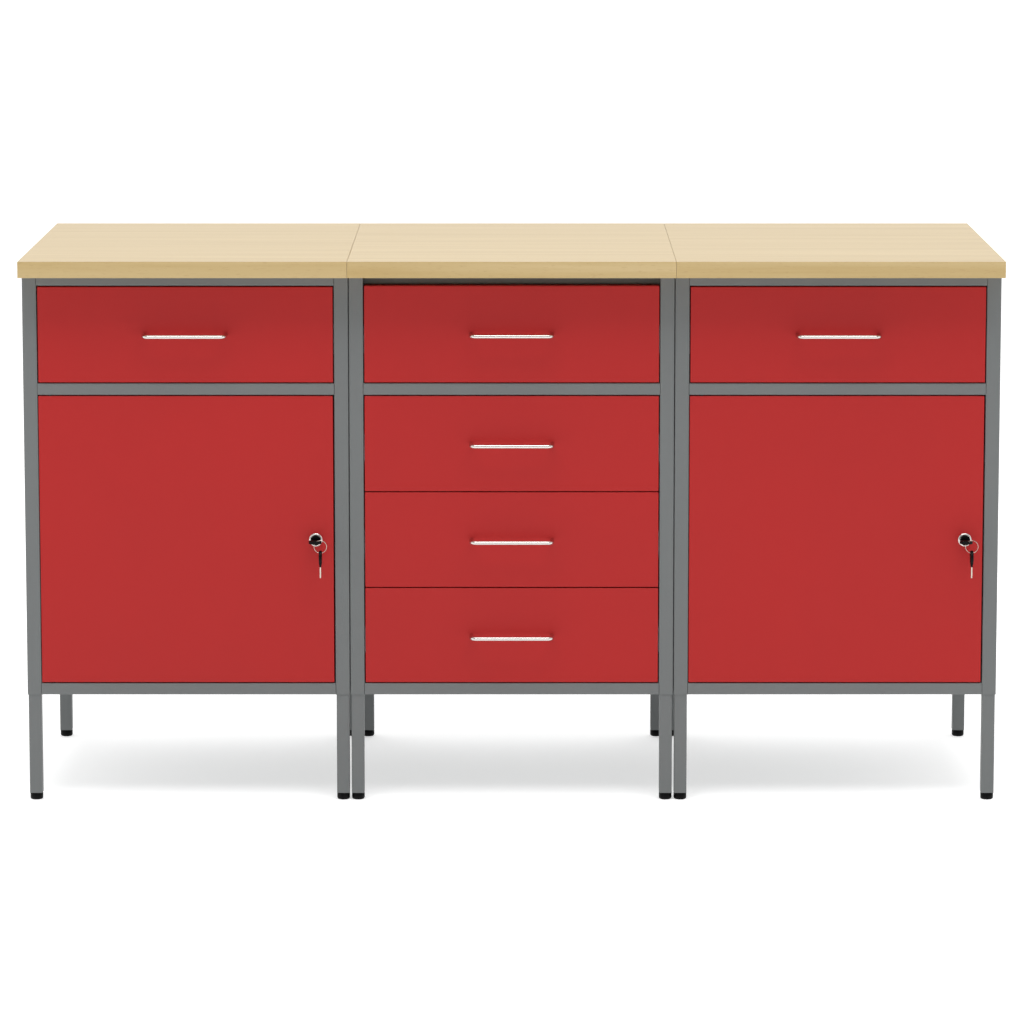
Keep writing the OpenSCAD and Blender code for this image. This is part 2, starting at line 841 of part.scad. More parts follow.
// Key along Z, the grip's start at the origin, the blade downwards
module key_shape() {
    grip_half = key_slot_w / 2 - key_slot_h / 2;
    union() {
        translate([0, grip_t / 2, 0])
            rotate([90, 0, 0])
                linear_extrude(grip_t)
                    difference() {
                        union() {
                            translate([0, grip_r])
                                circle(grip_r);
                            translate([-grip_r * 0.6, 0])
                                square([grip_r * 1.2, grip_r]);
                        }
                        for (x = [-grip_half, grip_half])
                            translate([x, key_slot_at])
                                circle(key_slot_h / 2);
                        translate([-grip_half, key_slot_at - key_slot_h / 2])
                            square([2 * grip_half, key_slot_h]);
                    }
        translate([-neck_w / 2, -neck_t / 2, -neck_len])
            cube([neck_w, neck_t, neck_len + 1]);
        translate([-blade_w / 2, -blade_t / 2, -neck_len - blade_len])
            cube([blade_w, blade_t, blade_len + 1]);
    }
}

// Key in the lock, its grip level
module key(c) {
    color("black")
        at_lock(c)
            translate([0, 0, key_start])
                key_shape();
}

// Wire ring through the key's slot
module key_ring(c) {
    color("silver")
        translate([lock_x(c) + ring_dx, front_y - ring_plane, lock_z + ring_dz])
            rotate([90, 0, 0])
                rotate_extrude()
                    translate([ring_r, 0])
                        circle(ring_wire / 2);
}

// Second key hanging edge-on from the ring's lowest point
module spare_key(c) {
    hang_z = lock_z + ring_dz - ring_r;
    slot_top = hang_z + ring_wire / 2 + spare_play;
    color("black")
        translate([
            lock_x(c) + ring_dx,
            front_y - ring_plane,
            slot_top - key_slot_h / 2 - key_slot_at
        ])
            rotate([0, 0, 90])
                key_shape();
}

for (c = CABINETS) {
    worktop(c);
    frame(c);
}
legs();
feet();
side_panels();
back_panels();
floor_panels();
uprights();
slide_channels();
shelves();
shelf_clips();
hinge_pins();
worktop_screws();
joining_bolts();
for (d = DRAWERS) {
    drawer_front(d);
    drawer_tray(d);
    drawer_handle(d);
    drawer_slides(d);
    slide_carriers(d);
}
for (c = CUPBOARDS) {
    door(c);
    lock_body(c);
    lock_barrel(c);
    key(c);
    key_ring(c);
    spare_key(c);
}
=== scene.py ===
"""Looks of a three-cabinet workbench: beech boards, powder-coated steel, chrome handles and locks.

Every length here is in metres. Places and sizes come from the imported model's own boxes.
"""

import json
import math

import bmesh
import bpy
from mathutils import Matrix, Vector

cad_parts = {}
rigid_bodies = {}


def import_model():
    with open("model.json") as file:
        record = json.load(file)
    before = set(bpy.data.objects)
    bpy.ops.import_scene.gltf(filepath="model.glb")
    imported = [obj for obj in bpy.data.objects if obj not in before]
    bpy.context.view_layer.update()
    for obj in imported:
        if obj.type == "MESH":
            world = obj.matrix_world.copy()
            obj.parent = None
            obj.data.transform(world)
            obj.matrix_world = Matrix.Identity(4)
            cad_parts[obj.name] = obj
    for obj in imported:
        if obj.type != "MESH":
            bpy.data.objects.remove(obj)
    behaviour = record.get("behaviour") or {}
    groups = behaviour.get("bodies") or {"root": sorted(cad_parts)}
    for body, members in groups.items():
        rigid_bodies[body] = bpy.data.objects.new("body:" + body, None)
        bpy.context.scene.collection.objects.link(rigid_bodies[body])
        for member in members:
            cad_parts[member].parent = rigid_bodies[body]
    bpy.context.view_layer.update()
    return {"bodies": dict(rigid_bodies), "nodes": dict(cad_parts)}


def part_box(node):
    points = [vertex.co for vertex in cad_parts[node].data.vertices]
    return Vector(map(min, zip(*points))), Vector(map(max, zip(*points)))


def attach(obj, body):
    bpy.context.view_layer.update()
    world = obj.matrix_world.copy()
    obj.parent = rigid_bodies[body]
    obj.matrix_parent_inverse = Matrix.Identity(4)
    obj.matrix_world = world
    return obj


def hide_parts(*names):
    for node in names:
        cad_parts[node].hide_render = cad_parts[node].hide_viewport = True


bl_info = {
    "name": "Workbench Looks",
    "version": (1, 0, 0),
    "blender": (4, 5, 0),
    "location": "View3D > Sidebar > Workbench",
    "description": "Builds the boards, sheet metal, handles, locks and stage of a workbench",
    "category": "Object",
}

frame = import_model()

MM = 0.001
BENCH = "bench"
CABINETS = ("left", "middle", "right")
CUPBOARDS = ("left", "right")
DRAWERS = [body for body in frame["bodies"] if "drawer" in body and "carriers" not in body]
SMOOTH_ANGLE = math.radians(35)
WELD = 0.000002  # vertices nearer than this are joined
WHITE = (1.0, 1.0, 1.0, 1.0)
FRONT_WALL = 1.0 * MM
TRAY_WALL = 1.0 * MM


# ---------------------------------------------------------------- settings


def srgb(hexadecimal):
    """A hex colour as three numbers from 0 to 1."""
    return [int(hexadecimal[i : i + 2], 16) / 255 for i in (0, 2, 4)]


class WorkbenchFinishes(bpy.types.PropertyGroup):
    """Colours of the workbench's finishes."""

    def tint(name, description, hexadecimal):
        """One colour property; its default is the given sRGB hex value."""
        return bpy.props.FloatVectorProperty(
            name=name, description=description, subtype="COLOR_GAMMA",
            size=3, min=0.0, max=1.0, default=srgb(hexadecimal),
        )

    red: tint("Fronts", "Powder coat of the drawer fronts and doors", "A92120")
    grey: tint("Frame", "Powder coat of frames, panels and trays", "6E7171")
    beech: tint("Beech", "Ground colour of the beech decor", "C0A97A")
    beech_streak: tint("Beech streaks", "Darker streaks in the beech decor", "B39964")
    beech_fleck: tint("Beech flecks", "Short flecks in the beech decor", "9C7C4C")
    chrome: tint("Chrome", "Handles and lock rosettes", "DAD6D2")
    zinc: tint("Zinc", "Plated slides, screws and clips", "B9BDC2")
    nickel: tint("Nickel", "Key blades and rings", "C4BEB3")
    black: tint("Black", "Moulded plastic feet and key grips", "050506")
    barrel: tint("Lock barrel", "Black-plated lock barrels", "060607")
    # hinge pins: dark steel whose darkness is painted shade, so the pins read as the shade in the
    # door's gap
    pin: tint("Hinge pins", "Phosphated steel of the hinge pins", "2E2E30")


class WorkbenchSizes(bpy.types.PropertyGroup):
    """Sizes of the details that the looks add."""

    def length(name, description, millimetres):
        """One length property, given in millimetres."""
        return bpy.props.FloatProperty(
            name=name, description=description, subtype="DISTANCE", unit="LENGTH",
            min=0.0, precision=5, default=millimetres * MM,
        )

    front_fold: length("Front fold", "Outer radius of the folds of fronts and doors", 1.2)
    sheet_fold: length("Sheet fold", "Outer radius of the folds of panels and trays", 0.9)
    band: length("Edge band", "Thickness of the band round each board", 1.0)
    band_round: length("Band radius", "Rounding of the band's outer edges", 0.3)
    rod: length("Handle rod", "Diameter of the handle rods", 6.0)
    rod_bend: length("Handle bend", "Bend radius of the handle rods", 8.0)
    handle_screw: length("Handle screw", "Diameter of the handle screws' heads", 8.0)
    ring_wire: length("Ring wire", "Diameter of the key rings' wire", 0.75)
    grip: length("Key grip", "Thickness of the key grips", 4.4)
    grip_round: length("Grip rounding", "Rounding of the key grips' edges", 1.0)
    rivet: length("Rivet", "Diameter of the rivet heads in the trays", 7.0)
    foot_rim: length("Foot rim", "Radius of the feet's lower rim", 3.0)
    row_gap: length("Ball spacing", "Distance from ball to ball in a slide", 9.0)
    slide_sheet: length("Slide sheet", "Thickness of the slides' members", 1.2)
    slide_bend: length("Slide bend", "Radius between a member's web and flange", 2.0)
    slide_lip: length("Slide lip", "Radius of a flange's curled edge", 1.2)
    slot_gap: length("Slot spacing", "Distance from slot to slot in a slide's web", 32.0)
    slot_width: length("Slot width", "Width of the slots in a slide's web", 4.4)


class WorkbenchStage(bpy.types.PropertyGroup):
    """Camera, floor and light."""

    def amount(name, description, default, **kind):
        """One plain number."""
        return bpy.props.FloatProperty(
            name=name, description=description, default=default, **kind,
        )

    eye: bpy.props.FloatVectorProperty(
        name="Eye", description="Place of the camera", subtype="TRANSLATION",
        size=3, default=(0.01144, -7.12325, 1.57487),
    )
    pitch: amount("Pitch", "How far the camera looks down", math.radians(7.695), subtype="ANGLE")
    lens: amount("Lens", "Focal length in millimetres on a 36 mm sensor", 158.796, min=20.0)
    shift_x: amount("Shift X", "Sideways lens shift", -0.00696)
    shift_y: amount("Shift Y", "Upward lens shift", -0.12)
    floor: amount("Floor", "Radius of the floor", 60.0, subtype="DISTANCE", unit="LENGTH", min=5.0)
    sky: amount("Sky", "Strength of the light from all round", 0.72, min=0.0)
    key: amount("Key", "Power of the large softbox in front", 140.0, subtype="POWER", min=0.0)
    side: amount("Side", "Power of each softbox at the sides", 14.0, subtype="POWER", min=0.0)


# ---------------------------------------------------------------- colours and nodes


def linear(colour):
    """An sRGB colour of three numbers from 0 to 1, as linear RGBA."""
    toe, slope = 0.04045, 12.92
    straight = [c / slope if c <= toe else ((c + 0.055) / 1.055) ** 2.4 for c in colour]
    return (*straight, 1.0)


def shade(colour, factor):
    """An sRGB colour made lighter or darker."""
    return [min(1.0, c * factor) for c in colour]


def add(tree, kind, inputs=None, links=None, **settings):
    """Adds a node with its settings, its input values and the sockets that feed it."""
    node = tree.nodes.new(kind)
    for name, value in settings.items():
        setattr(node, name, value)
    for key, value in (inputs or {}).items():
        node.inputs[key].default_value = value
    for key, socket in (links or {}).items():
        tree.links.new(socket, node.inputs[key])
    return node


def new_material(name):
    """A material with an empty node tree, its shader, and its object coordinates."""
    material = bpy.data.materials.new(name)
    material.use_nodes = True
    tree = material.node_tree
    tree.nodes.clear()
    shader = add(tree, "ShaderNodeBsdfPrincipled")
    add(tree, "ShaderNodeOutputMaterial", links={"Surface": shader.outputs["BSDF"]})
    place = add(tree, "ShaderNodeTexCoord").outputs["Object"]
    return material, tree, shader, place


def set_shader(shader, **values):
    """Sets the shader's own sockets; an underscore stands for a space."""
    for name, value in values.items():
        shader.inputs[name.replace("_", " ")].default_value = value


# ---------------------------------------------------------------- materials


def cloudy_film(tree, shader, place, colour, shades, gloss, scale, ends=(0.0, 1.0), rough=0.5):
    """Soft clouds in a film: colour from one shade to another, roughness between two values."""
    cloud = add(
        tree, "ShaderNodeTexNoise",
        {"Scale": scale, "Detail": 3.0, "Roughness": rough}, {"Vector": place},
    )
    tone = add(tree, "ShaderNodeValToRGB", links={"Fac": cloud.outputs["Fac"]})
    for stop, position, factor in zip(tone.color_ramp.elements, ends, shades):
        stop.position = position
        stop.color = linear(shade(colour, factor))
    film = add(
        tree, "ShaderNodeMapRange",
        {"From Min": ends[0], "From Max": ends[1], "To Min": gloss[0], "To Max": gloss[1]},
        {"Value": cloud.outputs["Fac"]},
    )
    tree.links.new(tone.outputs["Color"], shader.inputs["Base Color"])
    tree.links.new(film.outputs["Result"], shader.inputs["Roughness"])


def powder_coat(name, colour, roughness):
    """Powder-coated sheet steel: satin, with orange peel about 3 mm from crest to crest.

    Real orange peel is some 2 mm wide and only microns deep; here it is drawn a little
    coarser and deeper so that it shows. Soft cloudy changes in gloss come from the cured film.
    """
    material, tree, shader, place = new_material(name)
    gloss = (roughness - 0.04, roughness + 0.04)
    cloudy_film(tree, shader, place, colour, (0.985, 1.012), gloss, 2.2, (0.3, 0.7), 0.55)
    peel = add(
        tree, "ShaderNodeTexNoise",
        {"Scale": 330.0, "Detail": 1.5, "Roughness": 0.45}, {"Vector": place},
    )
    bump = add(
        tree, "ShaderNodeBump", {"Strength": 0.3, "Distance": 0.0003},
        {"Height": peel.outputs["Fac"]},
    )
    tree.links.new(bump.outputs["Normal"], shader.inputs["Normal"])
    set_shader(shader, IOR=1.5, Specular_IOR_Level=0.22)
    return material


def beech_decor(name, finishes, across, offset):
    """Beech decor laminate under clear lacquer: pale, straight-grained, with short flecks.

    across is the coordinate that crosses the grain, "Y" on the faces and "Z" on the bands.
    Streaks are 4 to 30 mm wide and most of a metre long. The ray flecks are about 1.6 mm by
    10 mm, a little larger than real ones, so that they show.
    """
    material, tree, shader, place = new_material(name)
    grains, along, over = 34.0, 95.0, 620.0
    wide = (1.0, grains, 1.0) if across == "Y" else (1.0, 1.0, grains)
    fine = (along, over, 1.0) if across == "Y" else (along, 1.0, over)
    streak_place = add(
        tree, "ShaderNodeMapping", {"Location": offset, "Scale": wide}, {"Vector": place},
    )
    streak = add(
        tree, "ShaderNodeTexNoise",
        {"Scale": 1.3, "Detail": 7.0, "Roughness": 0.62, "Distortion": 0.35},
        {"Vector": streak_place.outputs["Vector"]},
    )
    ground = add(tree, "ShaderNodeValToRGB", links={"Fac": streak.outputs["Fac"]})
    colours = (finishes.beech_streak, finishes.beech)
    for stop, position, colour in zip(ground.color_ramp.elements, (0.36, 0.66), colours):
        stop.position = position
        stop.color = linear(colour)
    fleck_place = add(
        tree, "ShaderNodeMapping", {"Location": offset, "Scale": fine}, {"Vector": place},
    )
    fleck = add(
        tree, "ShaderNodeTexNoise", {"Scale": 1.0, "Detail": 1.0},
        {"Vector": fleck_place.outputs["Vector"]},
    )
    where = add(
        tree, "ShaderNodeMapRange", {"From Min": 0.64, "From Max": 0.72, "To Max": 0.25},
        {"Value": fleck.outputs["Fac"]},
    )
    wood = add(
        tree, "ShaderNodeMix", {7: linear(finishes.beech_fleck)},
        {0: where.outputs["Result"], 6: ground.outputs["Color"]}, data_type="RGBA",
    )
    pores = add(
        tree, "ShaderNodeBump", {"Strength": 0.05, "Distance": 0.0002},
        {"Height": streak.outputs["Fac"]},
    )
    gloss = add(
        tree, "ShaderNodeMapRange", {"To Min": 0.36, "To Max": 0.46},
        {"Value": streak.outputs["Fac"]},
    )
    tree.links.new(wood.outputs[2], shader.inputs["Base Color"])
    tree.links.new(gloss.outputs["Result"], shader.inputs["Roughness"])
    tree.links.new(pores.outputs["Normal"], shader.inputs["Normal"])
    set_shader(shader, IOR=1.5)
    return material


def plated_metal(name, colour, roughness, scratch):
    """Plated steel: chrome, nickel or zinc over drawn wire or rolled strip.

    Polishing and drawing leave fine level hairlines, 0.4 mm apart here so that they show;
    scratch sets how much they change the gloss.
    """
    material, tree, shader, place = new_material(name)
    stretched = add(
        tree, "ShaderNodeMapping", {"Scale": (60.0, 60.0, 2600.0)}, {"Vector": place},
    )
    lines = add(
        tree, "ShaderNodeTexNoise", {"Scale": 1.0, "Detail": 2.0},
        {"Vector": stretched.outputs["Vector"]},
    )
    cloud = add(
        tree, "ShaderNodeTexNoise", {"Scale": 26.0, "Detail": 3.0}, {"Vector": place},
    )
    both = add(
        tree, "ShaderNodeMath",
        links={0: lines.outputs["Fac"], 1: cloud.outputs["Fac"]}, operation="MULTIPLY",
    )
    gloss = add(
        tree, "ShaderNodeMapRange",
        {"From Max": 0.5, "To Min": roughness - scratch, "To Max": roughness + scratch},
        {"Value": both.outputs["Value"]},
    )
    tree.links.new(gloss.outputs["Result"], shader.inputs["Roughness"])
    tone = add(tree, "ShaderNodeValToRGB", links={"Fac": cloud.outputs["Fac"]})
    tone.color_ramp.elements[0].color = linear(shade(colour, 0.95))
    tone.color_ramp.elements[1].color = linear(colour)
    tree.links.new(tone.outputs["Color"], shader.inputs["Base Color"])
    set_shader(shader, Metallic=1.0)
    return material


def moulded_plastic(name, colour, roughness):
    """Moulded black plastic with the mould's fine spark-eroded grain, 0.4 mm wide here.

    The lock barrels' black plating over a die casting is drawn the same way, with more gloss.
    """
    material, tree, shader, place = new_material(name)
    gloss = (roughness - 0.06, roughness + 0.06)
    cloudy_film(tree, shader, place, colour, (0.85, 1.3), gloss, 90.0)
    grain = add(tree, "ShaderNodeTexVoronoi", {"Scale": 2400.0}, {"Vector": place})
    bump = add(
        tree, "ShaderNodeBump", {"Strength": 0.2, "Distance": 0.0001},
        {"Height": grain.outputs["Distance"]},
    )
    tree.links.new(bump.outputs["Normal"], shader.inputs["Normal"])
    set_shader(shader, IOR=1.5, Specular_IOR_Level=0.12)
    return material


def finish_named(name, make, *arguments):
    """The material of that name, made on first use."""
    return bpy.data.materials.get(name) or make(name, *arguments)


# For each slot of the record but the boards': the material's name, what makes it, its colour
# among the finishes, its roughness and, on metals, how much the hairlines change that
FINISHES = {
    "red_paint": ("red_powder_coat", powder_coat, "red", 0.42),
    "grey_paint": ("grey_powder_coat", powder_coat, "grey", 0.45),
    "tray_paint": ("grey_powder_coat", powder_coat, "grey", 0.45),
    "handle_chrome": ("polished_chrome", plated_metal, "chrome", 0.2, 0.015),
    "lock_chrome": ("polished_chrome", plated_metal, "chrome", 0.2, 0.015),
    "zinc_steel": ("zinc_plate", plated_metal, "zinc", 0.34, 0.08),
    "ring_steel": ("nickel_plate", plated_metal, "nickel", 0.22, 0.05),
    # the hinge pins' dark colour is painted shade: they are darkened to read as the shade in the
    # door's gap
    "pin_steel": ("phosphated_steel", plated_metal, "pin", 0.5, 0.08),
    "black_plastic": ("black_moulded_plastic", moulded_plastic, "black", 0.45),
    "key_plastic": ("black_moulded_plastic", moulded_plastic, "black", 0.45),
    "lock_black": ("black_plated_barrel", moulded_plastic, "barrel", 0.3),
}


def finish(slot):
    """The material that a slot's pieces have."""
    name, make, colour, *surface = FINISHES[slot]
    return finish_named(name, make, getattr(bpy.context.scene.bench_finishes, colour), *surface)


# ---------------------------------------------------------------- meshes


def in_scene(name, data):
    """A new object of the scene."""
    thing = bpy.data.objects.new(name, data)
    bpy.context.scene.collection.objects.link(thing)
    return thing


def new_piece(name, mesh, body, slot, *nodes, material=None):
    """Puts a finished mesh in the scene as a piece of a body; it stands for the given nodes."""
    mesh.name = name
    mesh.materials.clear()
    mesh.materials.append(material or finish(slot))
    piece = in_scene(name, mesh)
    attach(piece, body)
    if nodes:
        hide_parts(*nodes)


def plain_mesh(holder):
    """The evaluated mesh of an object as plain data; the object is deleted."""
    graph = bpy.context.evaluated_depsgraph_get()
    mesh = bpy.data.meshes.new_from_object(holder.evaluated_get(graph))
    bpy.data.objects.remove(holder)
    return mesh


def mesh_from(bm):
    """A plain mesh from a bmesh, smooth except at sharp edges; its flat faces shade flat."""
    mesh = bpy.data.meshes.new("piece")
    bm.to_mesh(mesh)
    bm.free()
    mesh.shade_smooth()
    mesh.set_sharp_from_angle(angle=SMOOTH_ANGLE)
    holder = in_scene("holder", mesh)
    weighted = holder.modifiers.new("weighted", "WEIGHTED_NORMAL")
    weighted.keep_sharp = True
    weighted.weight = 100
    return plain_mesh(holder)


def welded(mesh):
    """A bmesh of a mesh, with its touching vertices joined."""
    bm = bmesh.new()
    bm.from_mesh(mesh)
    bmesh.ops.remove_doubles(bm, verts=bm.verts, dist=WELD)
    return bm


def merged_copy(node):
    """A bmesh copy of a CAD node with its triangles joined and flat areas made one face."""
    bm = welded(frame["nodes"][node].data)
    bmesh.ops.dissolve_limit(
        bm, angle_limit=math.radians(0.4), verts=bm.verts, edges=bm.edges,
    )
    return bm


def cad_piece(name, node, body, slot):
    """A piece that keeps a CAD node's own shape."""
    new_piece(name, mesh_from(merged_copy(node)), body, slot, node)


def islands(bm):
    """Lists of the vertices of each solid; the solids come in the same order at every run."""
    seen, found = set(), []
    for start in bm.verts:
        if start in seen:
            continue
        group, stack = {start}, [start]
        while stack:
            for edge in stack.pop().link_edges:
                for vertex in edge.verts:
                    if vertex not in group:
                        group.add(vertex)
                        stack.append(vertex)
        seen |= group
        found.append(list(group))
    return found


def extent(verts):
    """Lowest and highest corner of some vertices."""
    low = Vector(min(v.co[i] for v in verts) for i in range(3))
    high = Vector(max(v.co[i] for v in verts) for i in range(3))
    return low, high


def keep_islands(bm, wanted):
    """Deletes every solid whose box wanted(low, high) says no to."""
    for verts in islands(bm):
        if not wanted(*extent(verts)):
            bmesh.ops.delete(bm, geom=verts, context="VERTS")


def box_edges(verts, near=0.00002):
    """Edges of a solid that lie along an edge of its own box: where sheet metal is folded."""
    low, high = extent(verts)
    members, chosen = set(verts), []
    for edge in {e for v in verts for e in v.link_edges if len(e.link_faces) == 2}:
        a, b = edge.verts
        if a not in members:
            continue
        sides = 0
        for i in range(3):
            for plane in (low[i], high[i]):
                if abs(a.co[i] - plane) < near and abs(b.co[i] - plane) < near:
                    sides += 1
        if sides >= 2 and edge.calc_face_angle(0.0) > SMOOTH_ANGLE:
            chosen.append(edge)
    return chosen


def folded_piece(name, node, body, slot, radius):
    """A CAD sheet part with its outer edges rounded as a press brake leaves them."""
    bm = merged_copy(node)
    edges = [edge for verts in islands(bm) for edge in box_edges(verts)]
    bmesh.ops.bevel(
        bm, geom=edges, offset=radius, offset_type="OFFSET", segments=3,
        profile=0.5, affect="EDGES", clamp_overlap=True,
    )
    new_piece(name, mesh_from(bm), body, slot, node)


def broken_box(bm, low, high, bevel):
    """Adds a box with broken edges to a bmesh."""
    made = bmesh.ops.create_cube(bm, size=1.0)["verts"]
    size = Vector(high) - Vector(low)
    centre = (Vector(high) + Vector(low)) / 2
    bmesh.ops.scale(bm, vec=size, verts=made)
    bmesh.ops.translate(bm, vec=centre, verts=made)
    edges = list({e for v in made for e in v.link_edges})
    bmesh.ops.bevel(
        bm, geom=edges, offset=bevel, segments=1, profile=0.5, affect="EDGES",
    )


def strip(bm, one, two):
    """Faces between two closed rings; either may be a single vertex."""
    count = max(len(one), len(two))
    for i in range(count):
        j = (i + 1) % count
        corners = (one[i % len(one)], one[j % len(one)], two[j % len(two)], two[i % len(two)])
        bm.faces.new(dict.fromkeys(corners))


def lathe(profile, sides):
    """A solid turned round Z from a profile of (radius, height); a radius of 0 closes it."""
    bm = bmesh.new()
    turns = [2 * math.pi * i / sides for i in range(sides)]
    rings = []
    for radius, height in profile:
        around = turns if radius else [0.0]
        rings.append(
            [bm.verts.new((radius * math.cos(t), radius * math.sin(t), height)) for t in around]
        )
    for lower, upper in zip(rings, rings[1:]):
        strip(bm, lower, upper)
    bmesh.ops.recalc_face_normals(bm, faces=bm.faces)
    return bm


def arc(centre, radius, start, end, steps):
    """Points on an arc, angles in degrees."""
    turns = [math.radians(start + (end - start) * i / steps) for i in range(steps + 1)]
    return [(centre[0] + radius * math.cos(t), centre[1] + radius * math.sin(t)) for t in turns]


def turned(bm, axis):
    """Turns a bmesh so that its Z points along the axis."""
    matrix = Vector((0, 0, 1)).rotation_difference(Vector(axis)).to_matrix().to_4x4()
    bm.transform(matrix)
    return bm


def plate(outlines, thickness, rounding):
    """A flat plate in XY from closed outlines, holes included, with rounded edges."""
    curve = bpy.data.curves.new("plate", "CURVE")
    curve.dimensions = "2D"
    curve.fill_mode = "BOTH"
    curve.extrude = thickness / 2 - rounding
    curve.bevel_depth = rounding
    curve.bevel_resolution = 2
    curve.offset = -rounding
    for points in outlines:
        spline = curve.splines.new("POLY")
        spline.points.add(len(points) - 1)
        for point, (x, y) in zip(spline.points, points):
            point.co = (x, y, 0.0, 1.0)
        spline.use_cyclic_u = True
    bm = welded(plain_mesh(in_scene("plate", curve)))
    bmesh.ops.recalc_face_normals(bm, faces=bm.faces)
    return bm


def solid_boxes(node):
    """The boxes of a node's separate solids."""
    bm = welded(frame["nodes"][node].data)
    boxes = [extent(verts) for verts in islands(bm)]
    bm.free()
    return boxes


def joined(bm, other):
    """Adds one bmesh to another and frees it."""
    mesh = bpy.data.meshes.new("joined")
    other.to_mesh(mesh)
    other.free()
    bm.from_mesh(mesh)
    bpy.data.meshes.remove(mesh)


def sheet_outline(path, thickness):
    """Closed outline of a sheet whose middle line follows the path."""
    over, under = [], []
    for i, here in enumerate(path):
        before, after = path[max(i - 1, 0)], path[min(i + 1, len(path) - 1)]
        run = (Vector(after) - Vector(before)).normalized()
        across = Vector((-run.y, run.x)) * thickness / 2
        over.append(Vector(here) + across)
        under.append(Vector(here) - across)
    return over + under[::-1]


def extrude_y(bm, outline, start, end):
    """Adds a bar along Y whose section is an outline of (x, z)."""
    rings = [[bm.verts.new((x, y, z)) for x, z in outline] for y in (start, end)]
    strip(bm, *rings)
    for ring in rings:
        bm.faces.new(ring)


def cabinet_centres():
    """The middles of the three cabinets across."""
    return [sum(corner.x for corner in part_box("frame_" + side)) / 2 for side in CABINETS]


def middle_z(drawer):
    """Height of the middle of a drawer's slides."""
    return sum(corner.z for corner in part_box(drawer + "_slides")) / 2


def slot_rows(start, end, sizes):
    """Places of the slots along the web of a slide member."""
    count = int((end - start) / sizes.slot_gap)
    first = (start + end - (count - 1) * sizes.slot_gap) / 2
    return [first + i * sizes.slot_gap for i in range(count)]


def rivet_rows(drawer, sizes):
    """Places along a drawer of its slides' rivets, each halfway between two slots."""
    low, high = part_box(drawer + "_slides")
    slots = slot_rows(low.y, high.y, sizes)
    return [y + sizes.slot_gap / 2 for y in slots[1:-1:3]]


# ---------------------------------------------------------------- geometry nodes


def new_tree(name, sockets):
    """An empty geometry tree with named inputs, and the sockets that give their values."""
    tree = bpy.data.node_groups.new(name, "GeometryNodeTree")
    tree.interface.new_socket("Geometry", in_out="INPUT", socket_type="NodeSocketGeometry")
    for label, kind in sockets:
        tree.interface.new_socket(label, in_out="INPUT", socket_type="NodeSocket" + kind)
    tree.interface.new_socket("Geometry", in_out="OUTPUT", socket_type="NodeSocketGeometry")
    return tree, add(tree, "NodeGroupInput").outputs


def end_tree(tree, geometry, material):
    """Ends a tree: instances made real, material set."""
    real = add(tree, "GeometryNodeRealizeInstances", links={"Geometry": geometry})
    painted = add(
        tree, "GeometryNodeSetMaterial",
        links={"Geometry": real.outputs["Geometry"], "Material": material},
    )
    add(tree, "NodeGroupOutput", links={"Geometry": painted.outputs["Geometry"]})


def swept(tree, path, width, sides, material):
    """Ends a tree with a solid round section swept along curves."""
    half = add(tree, "ShaderNodeMath", {1: 0.5}, {0: width}, operation="MULTIPLY")
    section = add(
        tree, "GeometryNodeCurvePrimitiveCircle",
        links={"Radius": half.outputs["Value"], "Resolution": sides}, mode="RADIUS",
    )
    solid = add(
        tree, "GeometryNodeCurveToMesh", {"Fill Caps": True},
        {"Curve": path, "Profile Curve": section.outputs["Curve"]},
    )
    end_tree(tree, solid.outputs["Mesh"], material)
    return tree


def repeat_tree():
    """One part set on every point, each turned about the axis by a random share of the turn."""
    tree, given = new_tree(
        "repeat_part",
        [("Part", "Object"), ("Axis", "Vector"), ("Turn", "Float"), ("Seed", "Int"),
         ("Finish", "Material")],
    )
    part = add(tree, "GeometryNodeObjectInfo", links={"Object": given["Part"]})
    angle = add(
        tree, "FunctionNodeRandomValue",
        links={"Max": given["Turn"], "Seed": given["Seed"]}, data_type="FLOAT",
    )
    tilt = add(
        tree, "ShaderNodeVectorMath",
        links={0: given["Axis"], "Scale": angle.outputs[1]}, operation="SCALE",
    )
    placed = add(
        tree, "GeometryNodeInstanceOnPoints",
        links={"Points": given["Geometry"], "Instance": part.outputs["Geometry"],
               "Rotation": tilt.outputs["Vector"]},
    )
    end_tree(tree, placed.outputs["Instances"], given["Finish"])
    return tree


def rod_tree():
    """A round rod bent along a chain of edges, with a radius at each corner."""
    tree, given = new_tree(
        "bent_rod",
        [("Diameter", "Float"), ("Bend Radius", "Float"), ("Bend Steps", "Int"),
         ("Sides", "Int"), ("Finish", "Material")],
    )
    path = add(tree, "GeometryNodeMeshToCurve", links={"Mesh": given["Geometry"]})
    bent = add(
        tree, "GeometryNodeFilletCurve",
        links={"Curve": path.outputs["Curve"], "Radius": given["Bend Radius"],
               "Count": given["Bend Steps"]},
        mode="POLY",
    )
    return swept(tree, bent.outputs["Curve"], given["Diameter"], given["Sides"], given["Finish"])


def ring_tree():
    """A split ring: a wire wound twice, its coils side by side."""
    tree, given = new_tree(
        "split_ring",
        [("Radius", "Float"), ("Wire", "Float"), ("Coils", "Float"), ("Steps", "Int"),
         ("Sides", "Int"), ("Finish", "Material")],
    )
    spiral = add(
        tree, "GeometryNodeCurveSpiral",
        links={"Resolution": given["Steps"], "Rotations": given["Coils"],
               "Start Radius": given["Radius"], "End Radius": given["Radius"],
               "Height": given["Wire"]},
    )
    return swept(tree, spiral.outputs["Curve"], given["Wire"], given["Sides"], given["Finish"])


def tree_named(name, make):
    """The geometry tree of that name, made on first use."""
    return bpy.data.node_groups.get(name) or make()


